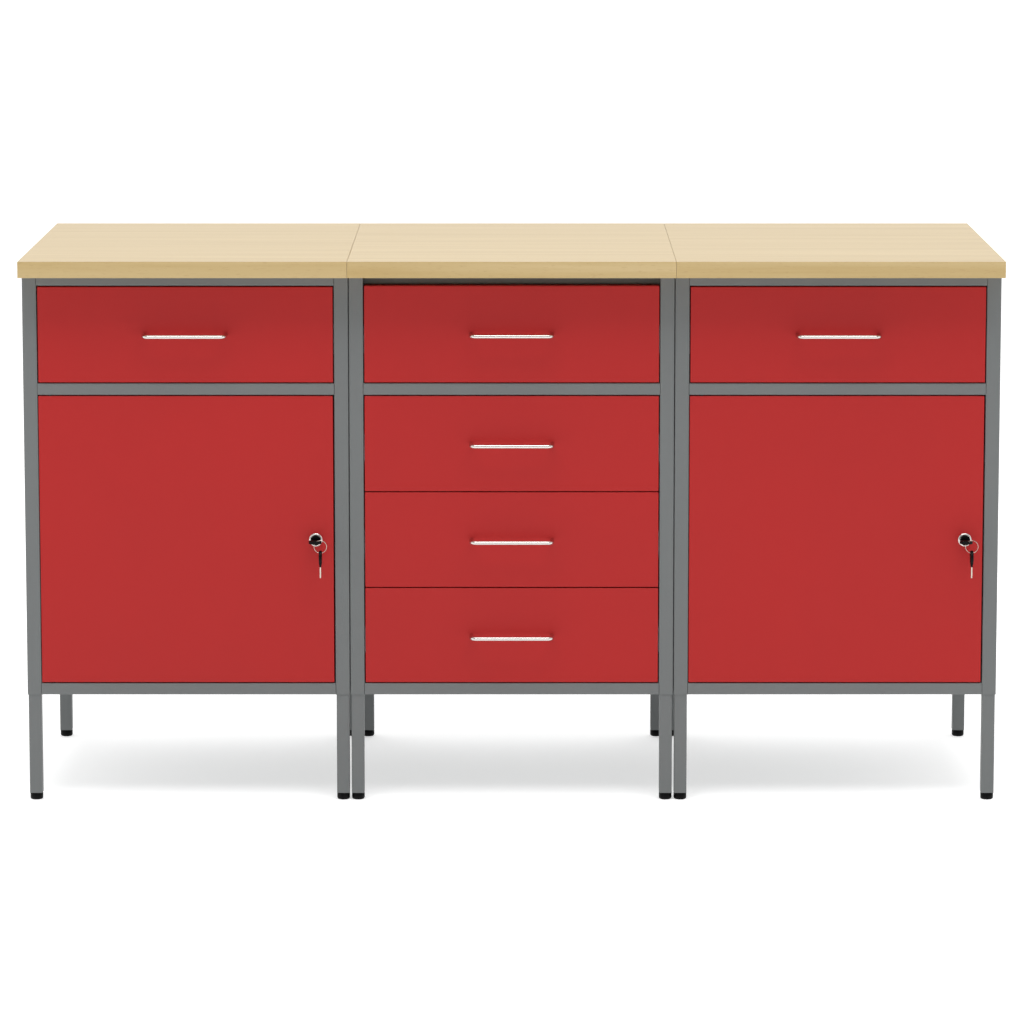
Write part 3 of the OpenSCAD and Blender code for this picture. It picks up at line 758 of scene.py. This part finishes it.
def run_tree(tree, points, edges, values):
    """Runs a geometry tree on a mesh of points and edges and returns the result as a plain mesh."""
    source = bpy.data.meshes.new("source")
    source.from_pydata([tuple(p) for p in points], edges, [])
    holder = in_scene("holder", source)
    modifier = holder.modifiers.new("nodes", "NODES")
    modifier.node_group = tree
    for item in tree.interface.items_tree:
        if item.in_out == "INPUT" and item.name in values:
            modifier[item.identifier] = values[item.name]
    mesh = plain_mesh(holder)
    mesh.shade_smooth()
    mesh.set_sharp_from_angle(angle=SMOOTH_ANGLE)
    return mesh


def repeated_piece(name, bm, points, body, slot, *nodes, spin=None, seed=1, material=None):
    """A piece of one part, given as a bmesh, on every point, turned at random about spin."""
    part = in_scene("part", mesh_from(bm))
    mesh = run_tree(
        tree_named("repeat_part", repeat_tree), points, [],
        {"Part": part, "Axis": spin or (0, 0, 1), "Turn": math.pi if spin else 0.0,
         "Seed": seed, "Finish": finish(slot)},
    )
    bpy.data.objects.remove(part)
    new_piece(name, mesh, body, slot, *nodes, material=material)


# ---------------------------------------------------------------- fasteners


def hex_recess(bm, rim, across, depth):
    """Closes the open top of a turned head with a flat ring and a six-sided socket."""
    top, side = rim[0].co.z, math.radians(60)
    corners = []
    for vertex in rim:
        t = math.atan2(vertex.co.y, vertex.co.x)
        reach = (across / 2) / math.cos((t % side) - side / 2)
        corners.append(bm.verts.new((reach * math.cos(t), reach * math.sin(t), top)))
    floor = [bm.verts.new((v.co.x, v.co.y, top - depth)) for v in corners]
    strip(bm, rim, corners)
    strip(bm, corners, floor)
    bm.faces.new(floor)
    bmesh.ops.recalc_face_normals(bm, faces=bm.faces)


def socket_screw(head_r, head_h, shank_r, length):
    """Pan-headed screw: head from 0 up to head_h, shank down to -length, hexagon socket on top."""
    edge, across, depth = head_h * 0.35, head_r * 0.9, head_h * 0.55
    profile = [(0, -length), (shank_r * 0.6, -length), (shank_r, -length + shank_r)]
    profile += [(shank_r, 0), (head_r, 0)]
    profile += arc((head_r - edge, head_h - edge), edge, 0, 90, 3)
    bm = lathe(profile, 24)
    rim = [v for v in bm.verts if abs(v.co.z - head_h) < 1e-7]
    rim.sort(key=lambda v: math.atan2(v.co.y, v.co.x))
    hex_recess(bm, rim, across, depth)
    return bm


def dome_rivet(radius, height):
    """Dome-headed rivet, its flat side at 0."""
    profile = [(0, 0), (radius, 0)]
    profile += [(radius * math.cos(t), height * math.sin(t))
                for t in (math.radians(a) for a in (25, 50, 72))]
    profile += [(0, height)]
    return lathe(profile, 20)


# ---------------------------------------------------------------- operators


class StepOperator:
    """Shared by the operators below: each runs its build function once."""

    bl_options = {"REGISTER", "UNDO"}

    def execute(self, context):
        self.build(context.scene)
        return {"FINISHED"}


class BENCH_OT_stage(StepOperator, bpy.types.Operator):
    """Makes the camera, the pale floor and the soft studio light"""

    bl_idname = "bench.stage"
    bl_label = "Stage"

    def build(self, scene):
        stage = scene.bench_stage
        self.camera(scene, stage)
        self.floor(stage)
        self.lights(stage)
        self.sky(scene, stage)
        scene.view_settings.view_transform = "Standard"

    def camera(self, scene, stage):
        data = bpy.data.cameras.new("camera")
        data.sensor_width = 36.0
        data.lens = stage.lens
        data.shift_x = stage.shift_x
        data.shift_y = stage.shift_y
        data.clip_end = 200.0
        camera = in_scene("camera", data)
        camera.location = stage.eye
        camera.rotation_euler = (math.radians(90) - stage.pitch, 0.0, 0.0)
        scene.camera = camera

    def floor(self, stage):
        bm = bmesh.new()
        bmesh.ops.create_circle(bm, cap_ends=True, radius=stage.floor, segments=96)
        mesh = bpy.data.meshes.new("floor")
        bm.to_mesh(mesh)
        bm.free()
        material, _, shader, _ = new_material("pale_floor")
        set_shader(
            shader, Base_Color=linear(srgb("E8E8E8")), Roughness=1.0, Specular_IOR_Level=0.0,
            Emission_Color=WHITE, Emission_Strength=0.5,
        )
        mesh.materials.append(material)
        in_scene("floor", mesh)

    def softbox(self, name, place, aim, size, power):
        data = bpy.data.lights.new(name, "AREA")
        data.shape = "RECTANGLE"
        data.size, data.size_y = size
        data.energy = power
        light = in_scene(name, data)
        light.location = place
        light.rotation_euler = (Vector(aim) - Vector(place)).to_track_quat("-Z", "Y").to_euler()

    def lights(self, stage):
        aim = (0.0, 0.0, 0.4)
        self.softbox("key", (0.0, -2.3, 5.1), aim, (4.5, 2.4), stage.key)
        for name, x in (("side_left", -5.0), ("side_right", 5.0)):
            self.softbox(name, (x, -1.5, 2.4), aim, (3.0, 3.0), stage.side)

    def sky(self, scene, stage):
        """Light from all round, dimmer in front than behind; the camera itself sees white."""
        front, back = 0.38, 2.0
        world = bpy.data.worlds.new("studio")
        world.use_nodes = True
        tree = world.node_tree
        tree.nodes.clear()
        place = add(tree, "ShaderNodeTexCoord").outputs["Generated"]
        parts = add(tree, "ShaderNodeSeparateXYZ", links={"Vector": place})
        glow = add(
            tree, "ShaderNodeMapRange",
            {"From Min": -1.0, "To Min": stage.sky * front, "To Max": stage.sky * back},
            {"Value": parts.outputs["Y"]},
        )
        lit = add(
            tree, "ShaderNodeBackground", {"Color": WHITE}, {"Strength": glow.outputs["Result"]},
        )
        seen = add(tree, "ShaderNodeBackground", {"Color": WHITE})
        ray = add(tree, "ShaderNodeLightPath")
        mixed = add(
            tree, "ShaderNodeMixShader",
            links={0: ray.outputs["Is Camera Ray"], 1: lit.outputs["Background"],
                   2: seen.outputs["Background"]},
        )
        add(tree, "ShaderNodeOutputWorld", links={"Surface": mixed.outputs["Shader"]})
        scene.world = world


class BENCH_OT_worktops(StepOperator, bpy.types.Operator):
    """Makes the three boards with their edge bands"""

    bl_idname = "bench.worktops"
    bl_label = "Worktops"

    def build(self, scene):
        sizes, finishes = scene.bench_sizes, scene.bench_finishes
        for index, side in enumerate(CABINETS):
            node = "worktop_" + side
            low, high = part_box(node)
            shift = (3.7 * index, 0.9 * index, 0.0)
            face = finish_named("beech_face_" + side, beech_decor, finishes, "Y", shift)
            edge = finish_named("beech_band_" + side, beech_decor, finishes, "Z", shift)
            board, band = self.board(low, high, sizes.band), self.band(low, high, sizes)
            new_piece(node + "_board", board, BENCH, "beech_top", node, material=face)
            new_piece(node + "_edge_band", band, BENCH, "beech_top", material=edge)

    def board(self, low, high, band):
        """The board inside its band, its edges just broken by the router."""
        bm = bmesh.new()
        inset = Vector((band, band, 0.0))
        broken_box(bm, low + inset, high - inset, 0.05 * MM)
        return mesh_from(bm)

    def band(self, low, high, sizes):
        """A strip round the board, rounded above and below on its outer side."""
        r, t = sizes.band_round, sizes.band
        section = [(t, low.z)]
        section += [(r + x, z) for x, z in arc((0.0, low.z + r), r, 270, 180, 3)]
        section += [(r + x, z) for x, z in arc((0.0, high.z - r), r, 180, 90, 3)]
        section += [(t, high.z)]
        bm = bmesh.new()
        rings = []
        for depth, z in section:
            x0, x1 = low.x + depth, high.x - depth
            y0, y1 = low.y + depth, high.y - depth
            corners = [(x0, y0), (x1, y0), (x1, y1), (x0, y1)]
            rings.append([bm.verts.new((x, y, z)) for x, y in corners])
        for one, two in zip(rings, rings[1:] + rings[:1]):
            strip(bm, one, two)
        bmesh.ops.recalc_face_normals(bm, faces=bm.faces)
        return mesh_from(bm)


class BENCH_OT_frames(StepOperator, bpy.types.Operator):
    """Makes the welded frames, the legs and the feet"""

    bl_idname = "bench.frames"
    bl_label = "Frames and feet"

    def build(self, scene):
        for side in CABINETS:
            node = "frame_" + side
            cad_piece(node + "_tubes", node, BENCH, "grey_paint")
        cad_piece("leg_tubes", "legs", BENCH, "grey_paint")
        self.feet(scene.bench_sizes)

    def feet(self, sizes):
        """Moulded feet: a rounded rim, a waist line, and the ribbed plug inside the leg."""
        places = solid_boxes("feet")
        low, high = places[0]
        leg_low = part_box("legs")[0].z
        radius, rim = (high.x - low.x) / 2, sizes.foot_rim
        line, ribs = 0.4 * MM, 7
        crest, groove, point = radius * 0.8, radius * 0.74, radius * 0.6
        profile = [(0, 0)] + arc((radius - rim, rim), rim, -90, 0, 5)
        profile += [(radius, leg_low - 3 * line), (radius - line, leg_low - 2 * line)]
        profile += [(radius - line, leg_low), (crest, leg_low)]
        for rib in range(1, ribs + 1):
            profile += [(crest, leg_low + (2 * rib - 1) * MM), (groove, leg_low + 2 * rib * MM)]
        profile += [(point, high.z), (0, high.z)]
        points = [((a.x + b.x) / 2, (a.y + b.y) / 2, 0.0) for a, b in places]
        repeated_piece("foot_caps", lathe(profile, 40), points, BENCH, "black_plastic", "feet")


class BENCH_OT_panels(StepOperator, bpy.types.Operator):
    """Makes the folded panels, the shelves, the uprights and the shelf clips"""

    bl_idname = "bench.panels"
    bl_label = "Panels and shelves"

    def build(self, scene):
        fold = scene.bench_sizes.sheet_fold
        for node, name, slot in (
            ("side_panels", "side_sheets", "grey_paint"),
            ("back_panels", "back_sheets", "grey_paint"),
            ("floor_panels", "floor_sheets", "grey_paint"),
            ("shelves", "shelf_sheets", "grey_paint"),
            ("uprights", "upright_channels", "zinc_steel"),
        ):
            folded_piece(name, node, BENCH, slot, fold)
        cad_piece("shelf_hooks", "shelf_clips", BENCH, "zinc_steel")


class BENCH_OT_drawers(StepOperator, bpy.types.Operator):
    """Makes the drawer fronts and the trays with their rivets"""

    bl_idname = "bench.drawers"
    bl_label = "Drawers"

    def build(self, scene):
        sizes = scene.bench_sizes
        for drawer in DRAWERS:
            front, tray = drawer + "_front", drawer + "_tray"
            folded_piece(front + "_pan", front, drawer, "red_paint", sizes.front_fold)
            folded_piece(tray + "_sheet", tray, drawer, "tray_paint", sizes.sheet_fold)
            self.rivets(drawer, sizes)

    def rivets(self, drawer, sizes):
        """Rivets that hold the slides, on the inner faces of the tray's sides."""
        low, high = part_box(drawer + "_tray")
        places = (("left", low.x + TRAY_WALL, 1), ("right", high.x - TRAY_WALL, -1))
        for side, x, inwards in places:
            head = turned(dome_rivet(sizes.rivet / 2, 1.3 * MM), (inwards, 0, 0))
            points = [(x, y, middle_z(drawer)) for y in rivet_rows(drawer, sizes)]
            repeated_piece(f"{drawer}_{side}_rivets", head, points, drawer, "zinc_steel")


class BENCH_OT_handles(StepOperator, bpy.types.Operator):
    """Makes the bent rod handles and their screws"""

    bl_idname = "bench.handles"
    bl_label = "Handles"

    def build(self, scene):
        sizes = scene.bench_sizes
        for drawer in DRAWERS:
            low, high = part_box(drawer + "_handle")
            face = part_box(drawer + "_front")[0].y
            z = (low.z + high.z) / 2
            out = low.y + sizes.rod / 2
            x0 = low.x + sizes.handle_screw / 2
            x1 = high.x - sizes.handle_screw / 2
            rod = run_tree(
                tree_named("bent_rod", rod_tree),
                [(x0, face, z), (x0, out, z), (x1, out, z), (x1, face, z)],
                [(0, 1), (1, 2), (2, 3)],
                {"Diameter": sizes.rod, "Bend Radius": sizes.rod_bend, "Bend Steps": 10,
                 "Sides": 24, "Finish": finish("handle_chrome")},
            )
            node = drawer + "_handle"
            new_piece(node + "_rod", rod, drawer, "handle_chrome", node)
            seat, shank_r = face + FRONT_WALL, 1.9 * MM
            screw = socket_screw(sizes.handle_screw / 2, high.y - seat, shank_r, FRONT_WALL)
            repeated_piece(
                node + "_screws", turned(screw, (0, 1, 0)), [(x0, seat, z), (x1, seat, z)],
                drawer, "zinc_steel", spin=(0, 1, 0), seed=3,
            )


class BENCH_OT_slides(StepOperator, bpy.types.Operator):
    """Makes the telescopic slides: rolled members with slotted webs, balls, cages and rivets"""

    bl_idname = "bench.slides"
    bl_label = "Drawer slides"

    def build(self, scene):
        sizes = scene.bench_sizes
        channels = solid_boxes("slide_channels")
        fixed = self.members(channels, "web at post", sizes)
        new_piece("cabinet_slide_members", fixed, BENCH, "zinc_steel", "slide_channels")
        self.channel_screws(channels, sizes)
        for drawer in DRAWERS:
            slides, carriers = drawer + "_slides", drawer + "_carriers"
            moving = self.members(solid_boxes(slides), "web at tray", sizes)
            new_piece(drawer + "_slide_members", moving, drawer, "zinc_steel", slides)
            between = self.members(solid_boxes(carriers), "web between", sizes)
            new_piece(drawer + "_carrier_members", between, carriers, "zinc_steel", carriers)
            self.bearings(drawer, sizes)
            self.slide_rivets(drawer, sizes)

    def inward(self, low, high):
        """+1 for the left slide of an opening and -1 for the right one, and its post's side."""
        centre = (low.x + high.x) / 2
        cabinet = min(cabinet_centres(), key=lambda x: abs(x - centre))
        return (1, low.x) if centre < cabinet else (-1, high.x)

    def members(self, boxes, kind, sizes):
        """One slide member for each box, as one mesh."""
        bm = bmesh.new()
        for low, high in boxes:
            turn, near = self.inward(low, high)
            width, half = high.x - low.x, (high.z - low.z) / 2
            t = sizes.slide_sheet
            web = {"web at post": t / 2, "web at tray": width - t / 2,
                   "web between": width * 0.4}[kind]
            for path in self.flanges(web, width, half, kind, sizes):
                outline = [
                    (near + turn * p, (low.z + high.z) / 2 + z)
                    for p, z in sheet_outline(path, t)
                ]
                extrude_y(bm, outline, low.y, high.y)
            stem = t if kind == "web between" else t / 2 + 2 * sizes.slide_bend
            self.web(bm, near + turn * web, half - stem, low, high, sizes)
        bmesh.ops.recalc_face_normals(bm, faces=bm.faces)
        return mesh_from(bm)

    def flanges(self, web, width, half, kind, sizes):
        """Middle lines of the upper and lower flange: distance from the post, and height."""
        t, bend, lip = sizes.slide_sheet, sizes.slide_bend, sizes.slide_lip
        top, end = half - t / 2, 0.6 * MM
        right = arc((width - t / 2 - lip, top - lip), lip, 90, 0, 4)
        right += [(width - t / 2, top - lip - end)]
        left = [(width - x, z) for x, z in reversed(right)]
        root = arc((bend, top - bend), bend, 180, 90, 5)
        if kind == "web at post":
            upper = [(web, top - 2 * bend)] + [(web + x, z) for x, z in root] + right
        elif kind == "web at tray":
            upper = left + [(web - x, z) for x, z in reversed(root)] + [(web, top - 2 * bend)]
        else:
            upper = left + right
        return upper, [(x, -z) for x, z in reversed(upper)]

    def web(self, bm, x, tall, low, high, sizes):
        """Web with punched slots and holes by turns, as tall either way as its flanges leave."""
        length, radius = high.y - low.y, sizes.slot_width / 2
        outlines = [[(0, -tall), (length, -tall), (length, tall), (0, tall)]]
        for i, y in enumerate(slot_rows(0, length, sizes)):
            half = (4 if i % 2 else 0.01) * MM
            slot = arc((y + half, 0), radius, -90, 90, 6)
            outlines.append(slot + arc((y - half, 0), radius, 90, 270, 6))
        sheet = plate(outlines, sizes.slide_sheet, 0.0)
        sheet.transform(
            Matrix(((0, 0, 1, x), (1, 0, 0, low.y), (0, 1, 0, (low.z + high.z) / 2), (0, 0, 0, 1)))
        )
        joined(bm, sheet)

    def channel_screws(self, boxes, sizes):
        """Screws through the cabinet members into the uprights."""
        rows = sorted({round((a.y + b.y) / 2, 4) for a, b in solid_boxes("uprights")})
        for name, turn in (("left", 1), ("right", -1)):
            points = []
            for low, high in boxes:
                side, near = self.inward(low, high)
                if side == turn:
                    x = near + turn * sizes.slide_sheet
                    points += [(x, y + 8 * MM, (low.z + high.z) / 2) for y in rows]
            head_r, head_h, shank_r, length = 3.4 * MM, 1.8 * MM, 1.6 * MM, 1.0 * MM
            screw = turned(socket_screw(head_r, head_h, shank_r, length), (turn, 0, 0))
            repeated_piece(
                f"channel_screws_{name}", screw, points, BENCH, "zinc_steel",
                spin=(1, 0, 0), seed=9,
            )

    def slide_rivets(self, drawer, sizes):
        """Flat rivet heads on the outer side of the drawer members."""
        for low, high in solid_boxes(drawer + "_slides"):
            turn, near = self.inward(low, high)
            x = near + turn * (high.x - low.x - sizes.slide_sheet)
            points = [(x, y, (low.z + high.z) / 2) for y in rivet_rows(drawer, sizes)]
            head = turned(dome_rivet(3.2 * MM, 0.7 * MM), (-turn, 0, 0))
            name = f"{drawer}_{'left' if turn > 0 else 'right'}_slide_rivets"
            repeated_piece(name, head, points, drawer, "zinc_steel")

    def bearings(self, drawer, sizes):
        """Rows of balls between the carriers and the drawer members, each in a cage strip."""
        carrier_low, carrier_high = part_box(drawer + "_carriers")
        slide_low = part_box(drawer + "_slides")[0]
        gap = slide_low.z - carrier_low.z - sizes.slide_sheet
        middle, count = (carrier_low.y + carrier_high.y) / 2, 13
        rows = [middle + (i - (count - 1) / 2) * sizes.row_gap for i in range(count)]
        reach = (count + 1) / 2 * sizes.row_gap
        points, cages = [], bmesh.new()
        track, strip_half = 6.6 * MM, Vector((1.0 * MM, reach, 0.25 * MM))
        for x in (carrier_low.x + track, carrier_high.x - track):
            for z in (carrier_low.z, carrier_high.z):
                z += math.copysign(sizes.slide_sheet + gap / 2, middle_z(drawer) - z)
                points += [(x, y, z) for y in rows]
                centre = Vector((x, middle, z))
                broken_box(cages, centre - strip_half, centre + strip_half, 0.1 * MM)
        ball = bmesh.new()
        bmesh.ops.create_icosphere(ball, subdivisions=2, radius=gap / 2 - 0.02 * MM)
        name, body, polished = drawer + "_carrier", drawer + "_carriers", finish("handle_chrome")
        repeated_piece(name + "_balls", ball, points, body, "zinc_steel", material=polished)
        new_piece(name + "_cages", mesh_from(cages), body, "zinc_steel")


class BENCH_OT_doors(StepOperator, bpy.types.Operator):
    """Makes the cupboard doors and their pivot pins"""

    bl_idname = "bench.doors"
    bl_label = "Doors"

    def build(self, scene):
        for side in CUPBOARDS:
            node = side + "_door"
            folded_piece(node + "_pan", node, node, "red_paint", scene.bench_sizes.front_fold)
        cad_piece("pivot_pins", "hinge_pins", BENCH, "pin_steel")


class BENCH_OT_locks(StepOperator, bpy.types.Operator):
    """Makes the cam locks: chrome rosettes, black barrels, plated cams"""

    bl_idname = "bench.locks"
    bl_label = "Locks"

    def build(self, scene):
        for side in CUPBOARDS:
            body, barrel = side + "_lock_body", side + "_lock_barrel"
            plug, cam = merged_copy(barrel), merged_copy(barrel)
            # the plug begins in front of this plane, the cam and its screw behind it
            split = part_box(side + "_door")[1].y - 10 * MM
            keep_islands(plug, lambda low, high: low.y < split)
            keep_islands(cam, lambda low, high: low.y >= split)
            lock = side + "_lock"
            cad_piece(lock + "_housing", body, side + "_door", "lock_chrome")
            new_piece(lock + "_plug", mesh_from(plug), lock, "lock_black", barrel)
            new_piece(lock + "_cam", mesh_from(cam), lock, "zinc_steel")


class BENCH_OT_keys(StepOperator, bpy.types.Operator):
    """Makes the keys in the locks, the split rings and the spare keys"""

    bl_idname = "bench.keys"
    bl_label = "Keys and rings"

    def build(self, scene):
        sizes = scene.bench_sizes
        for side in CUPBOARDS:
            low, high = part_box(side + "_key")
            centre = (low + high) / 2
            # grip level, blade towards +Y
            level = Matrix.Translation((centre.x, low.y, centre.z))
            level = level @ Matrix.Rotation(math.radians(180), 4, "Z")
            level = level @ Matrix.Translation((0, -(high.y - low.y), 0))
            self.key(side + "_key", high - low, level, sizes, side + "_lock", side + "_key")
            low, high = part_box(side + "_spare_key")
            centre = (low + high) / 2
            # grip upright and edge-on, blade downwards
            hanging = Matrix.Translation((centre.x, centre.y, low.z))
            hanging = hanging @ Matrix(((0, 0, 1, 0), (1, 0, 0, 0), (0, 1, 0, 0), (0, 0, 0, 1)))
            self.key(
                side + "_spare", high - low, hanging, sizes, side + "_spare_key",
                side + "_spare_key",
            )
            self.ring(side, sizes)

    def key(self, name, size, place, sizes, body, node):
        """One key along +Y from its blade's tip at the origin, flat in XY."""
        length, grip_r = max(size), sorted(size)[1] / 2
        neck, round_centre = 5.5 * MM, length - grip_r
        grip_start = round_centre - grip_r
        waist = grip_r * 0.6
        foot, thinning = waist * 0.72, 0.42
        spread = math.degrees(math.acos(waist / grip_r))
        outline = arc((0, round_centre), grip_r, -spread, 180 + spread, 28)
        outline += [(-waist, grip_start + 0.5 * MM), (-foot, grip_start - neck)]
        outline += [(foot, grip_start - neck), (waist, grip_start + 0.5 * MM)]
        slot_y, slot_r, slot_x = length - 5 * MM, 2.5 * MM, 2.8 * MM
        slot = arc((slot_x, slot_y), slot_r, -90, 90, 8)
        slot += arc((-slot_x, slot_y), slot_r, 90, 270, 8)
        grip = plate([outline, slot], sizes.grip, sizes.grip_round)
        for vertex in grip.verts:
            drop = grip_start + 1.0 * MM - vertex.co.y
            if drop > 0:
                vertex.co.z *= 1.0 - thinning * min(1.0, drop / neck)
        half, tip = 3.5 * MM, 2.0 * MM
        cuts = (1.1, 0.3, 1.6, 0.8, 1.9, 0.5)
        blade = [(-half + tip * 0.6, 0), (half - tip * 0.9, 0), (half, tip)]
        pitch = (grip_start - neck - 2 * tip) / len(cuts)
        for i, cut in enumerate(cuts):
            y = tip + pitch * (i + 0.5)
            blade += [(half - cut * MM, y - 0.3 * MM), (half - cut * MM, y + 0.3 * MM)]
        blade += [(half, grip_start - neck - tip * 0.6), (half, grip_start - neck * 0.5)]
        blade += [(-half, grip_start - neck * 0.5), (-half, tip)]
        metal = plate([blade], 2.0 * MM, 0.15 * MM)
        grip.transform(place)
        metal.transform(place)
        new_piece(name + "_grip", mesh_from(grip), body, "key_plastic", node)
        new_piece(name + "_blade", mesh_from(metal), body, "ring_steel")

    def ring(self, side, sizes):
        """A split ring in the plane of the door."""
        node = side + "_key_ring"
        low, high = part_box(node)
        centre = (low + high) / 2
        wire = high.y - low.y
        mesh = run_tree(
            tree_named("split_ring", ring_tree), [(0, 0, 0)], [],
            {"Radius": (high.x - low.x - wire) / 2, "Wire": sizes.ring_wire, "Coils": 2.0,
             "Steps": 48, "Sides": 10, "Finish": finish("ring_steel")},
        )
        turn = Matrix.Translation(centre) @ Matrix.Rotation(math.radians(90), 4, "X")
        mesh.transform(turn @ Matrix.Translation((0, 0, -sizes.ring_wire / 2)))
        new_piece(side + "_ring_wire", mesh, node, "ring_steel", node)


class BENCH_OT_fasteners(StepOperator, bpy.types.Operator):
    """Makes the screws under the boards and the bolts between the cabinets"""

    bl_idname = "bench.fasteners"
    bl_label = "Fasteners"

    def build(self, scene):
        self.wood_screws()
        cad_piece("cabinet_bolts", "joining_bolts", BENCH, "zinc_steel")

    def wood_screws(self):
        boxes = solid_boxes("worktop_screws")
        low, high = boxes[0]
        head_h = 2.5 * MM
        screw = socket_screw((high.x - low.x) / 2, head_h, 2.4 * MM, high.z - low.z - head_h)
        points = [((a.x + b.x) / 2, (a.y + b.y) / 2, low.z + head_h) for a, b in boxes]
        repeated_piece(
            "board_screws", turned(screw, (0, 0, -1)), points, BENCH, "zinc_steel",
            "worktop_screws", spin=(0, 0, 1), seed=5,
        )


class BENCH_PT_panel(bpy.types.Panel):
    """Lists the steps and the settings"""

    bl_idname = "BENCH_PT_panel"
    bl_label = "Workbench"
    bl_space_type = "VIEW_3D"
    bl_region_type = "UI"
    bl_category = "Workbench"

    def draw(self, context):
        for step in STEPS:
            self.layout.operator(step.bl_idname)
        for name in SETTINGS:
            group = getattr(context.scene, name)
            box = self.layout.box()
            for key in group.bl_rna.properties.keys():
                if key not in {"rna_type", "name"}:
                    box.prop(group, key)


STEPS = (
    BENCH_OT_stage, BENCH_OT_worktops, BENCH_OT_frames, BENCH_OT_panels, BENCH_OT_drawers,
    BENCH_OT_handles, BENCH_OT_slides, BENCH_OT_doors, BENCH_OT_locks, BENCH_OT_keys,
    BENCH_OT_fasteners,
)
SETTINGS = {
    "bench_finishes": WorkbenchFinishes,
    "bench_sizes": WorkbenchSizes,
    "bench_stage": WorkbenchStage,
}


def register():
    """Registers the settings, the steps and the panel."""
    for name, group in SETTINGS.items():
        bpy.utils.register_class(group)
        setattr(bpy.types.Scene, name, bpy.props.PointerProperty(type=group))
    for step in STEPS:
        bpy.utils.register_class(step)
    bpy.utils.register_class(BENCH_PT_panel)


def unregister():
    """Takes everything off again."""
    bpy.utils.unregister_class(BENCH_PT_panel)
    for step in reversed(STEPS):
        bpy.utils.unregister_class(step)
    for name, group in SETTINGS.items():
        delattr(bpy.types.Scene, name)
        bpy.utils.unregister_class(group)


def main():
    """Builds everything."""
    register()
    for step in STEPS:
        group, name = step.bl_idname.split(".")
        getattr(getattr(bpy.ops, group), name)()


if __name__ == "__main__":
    main()
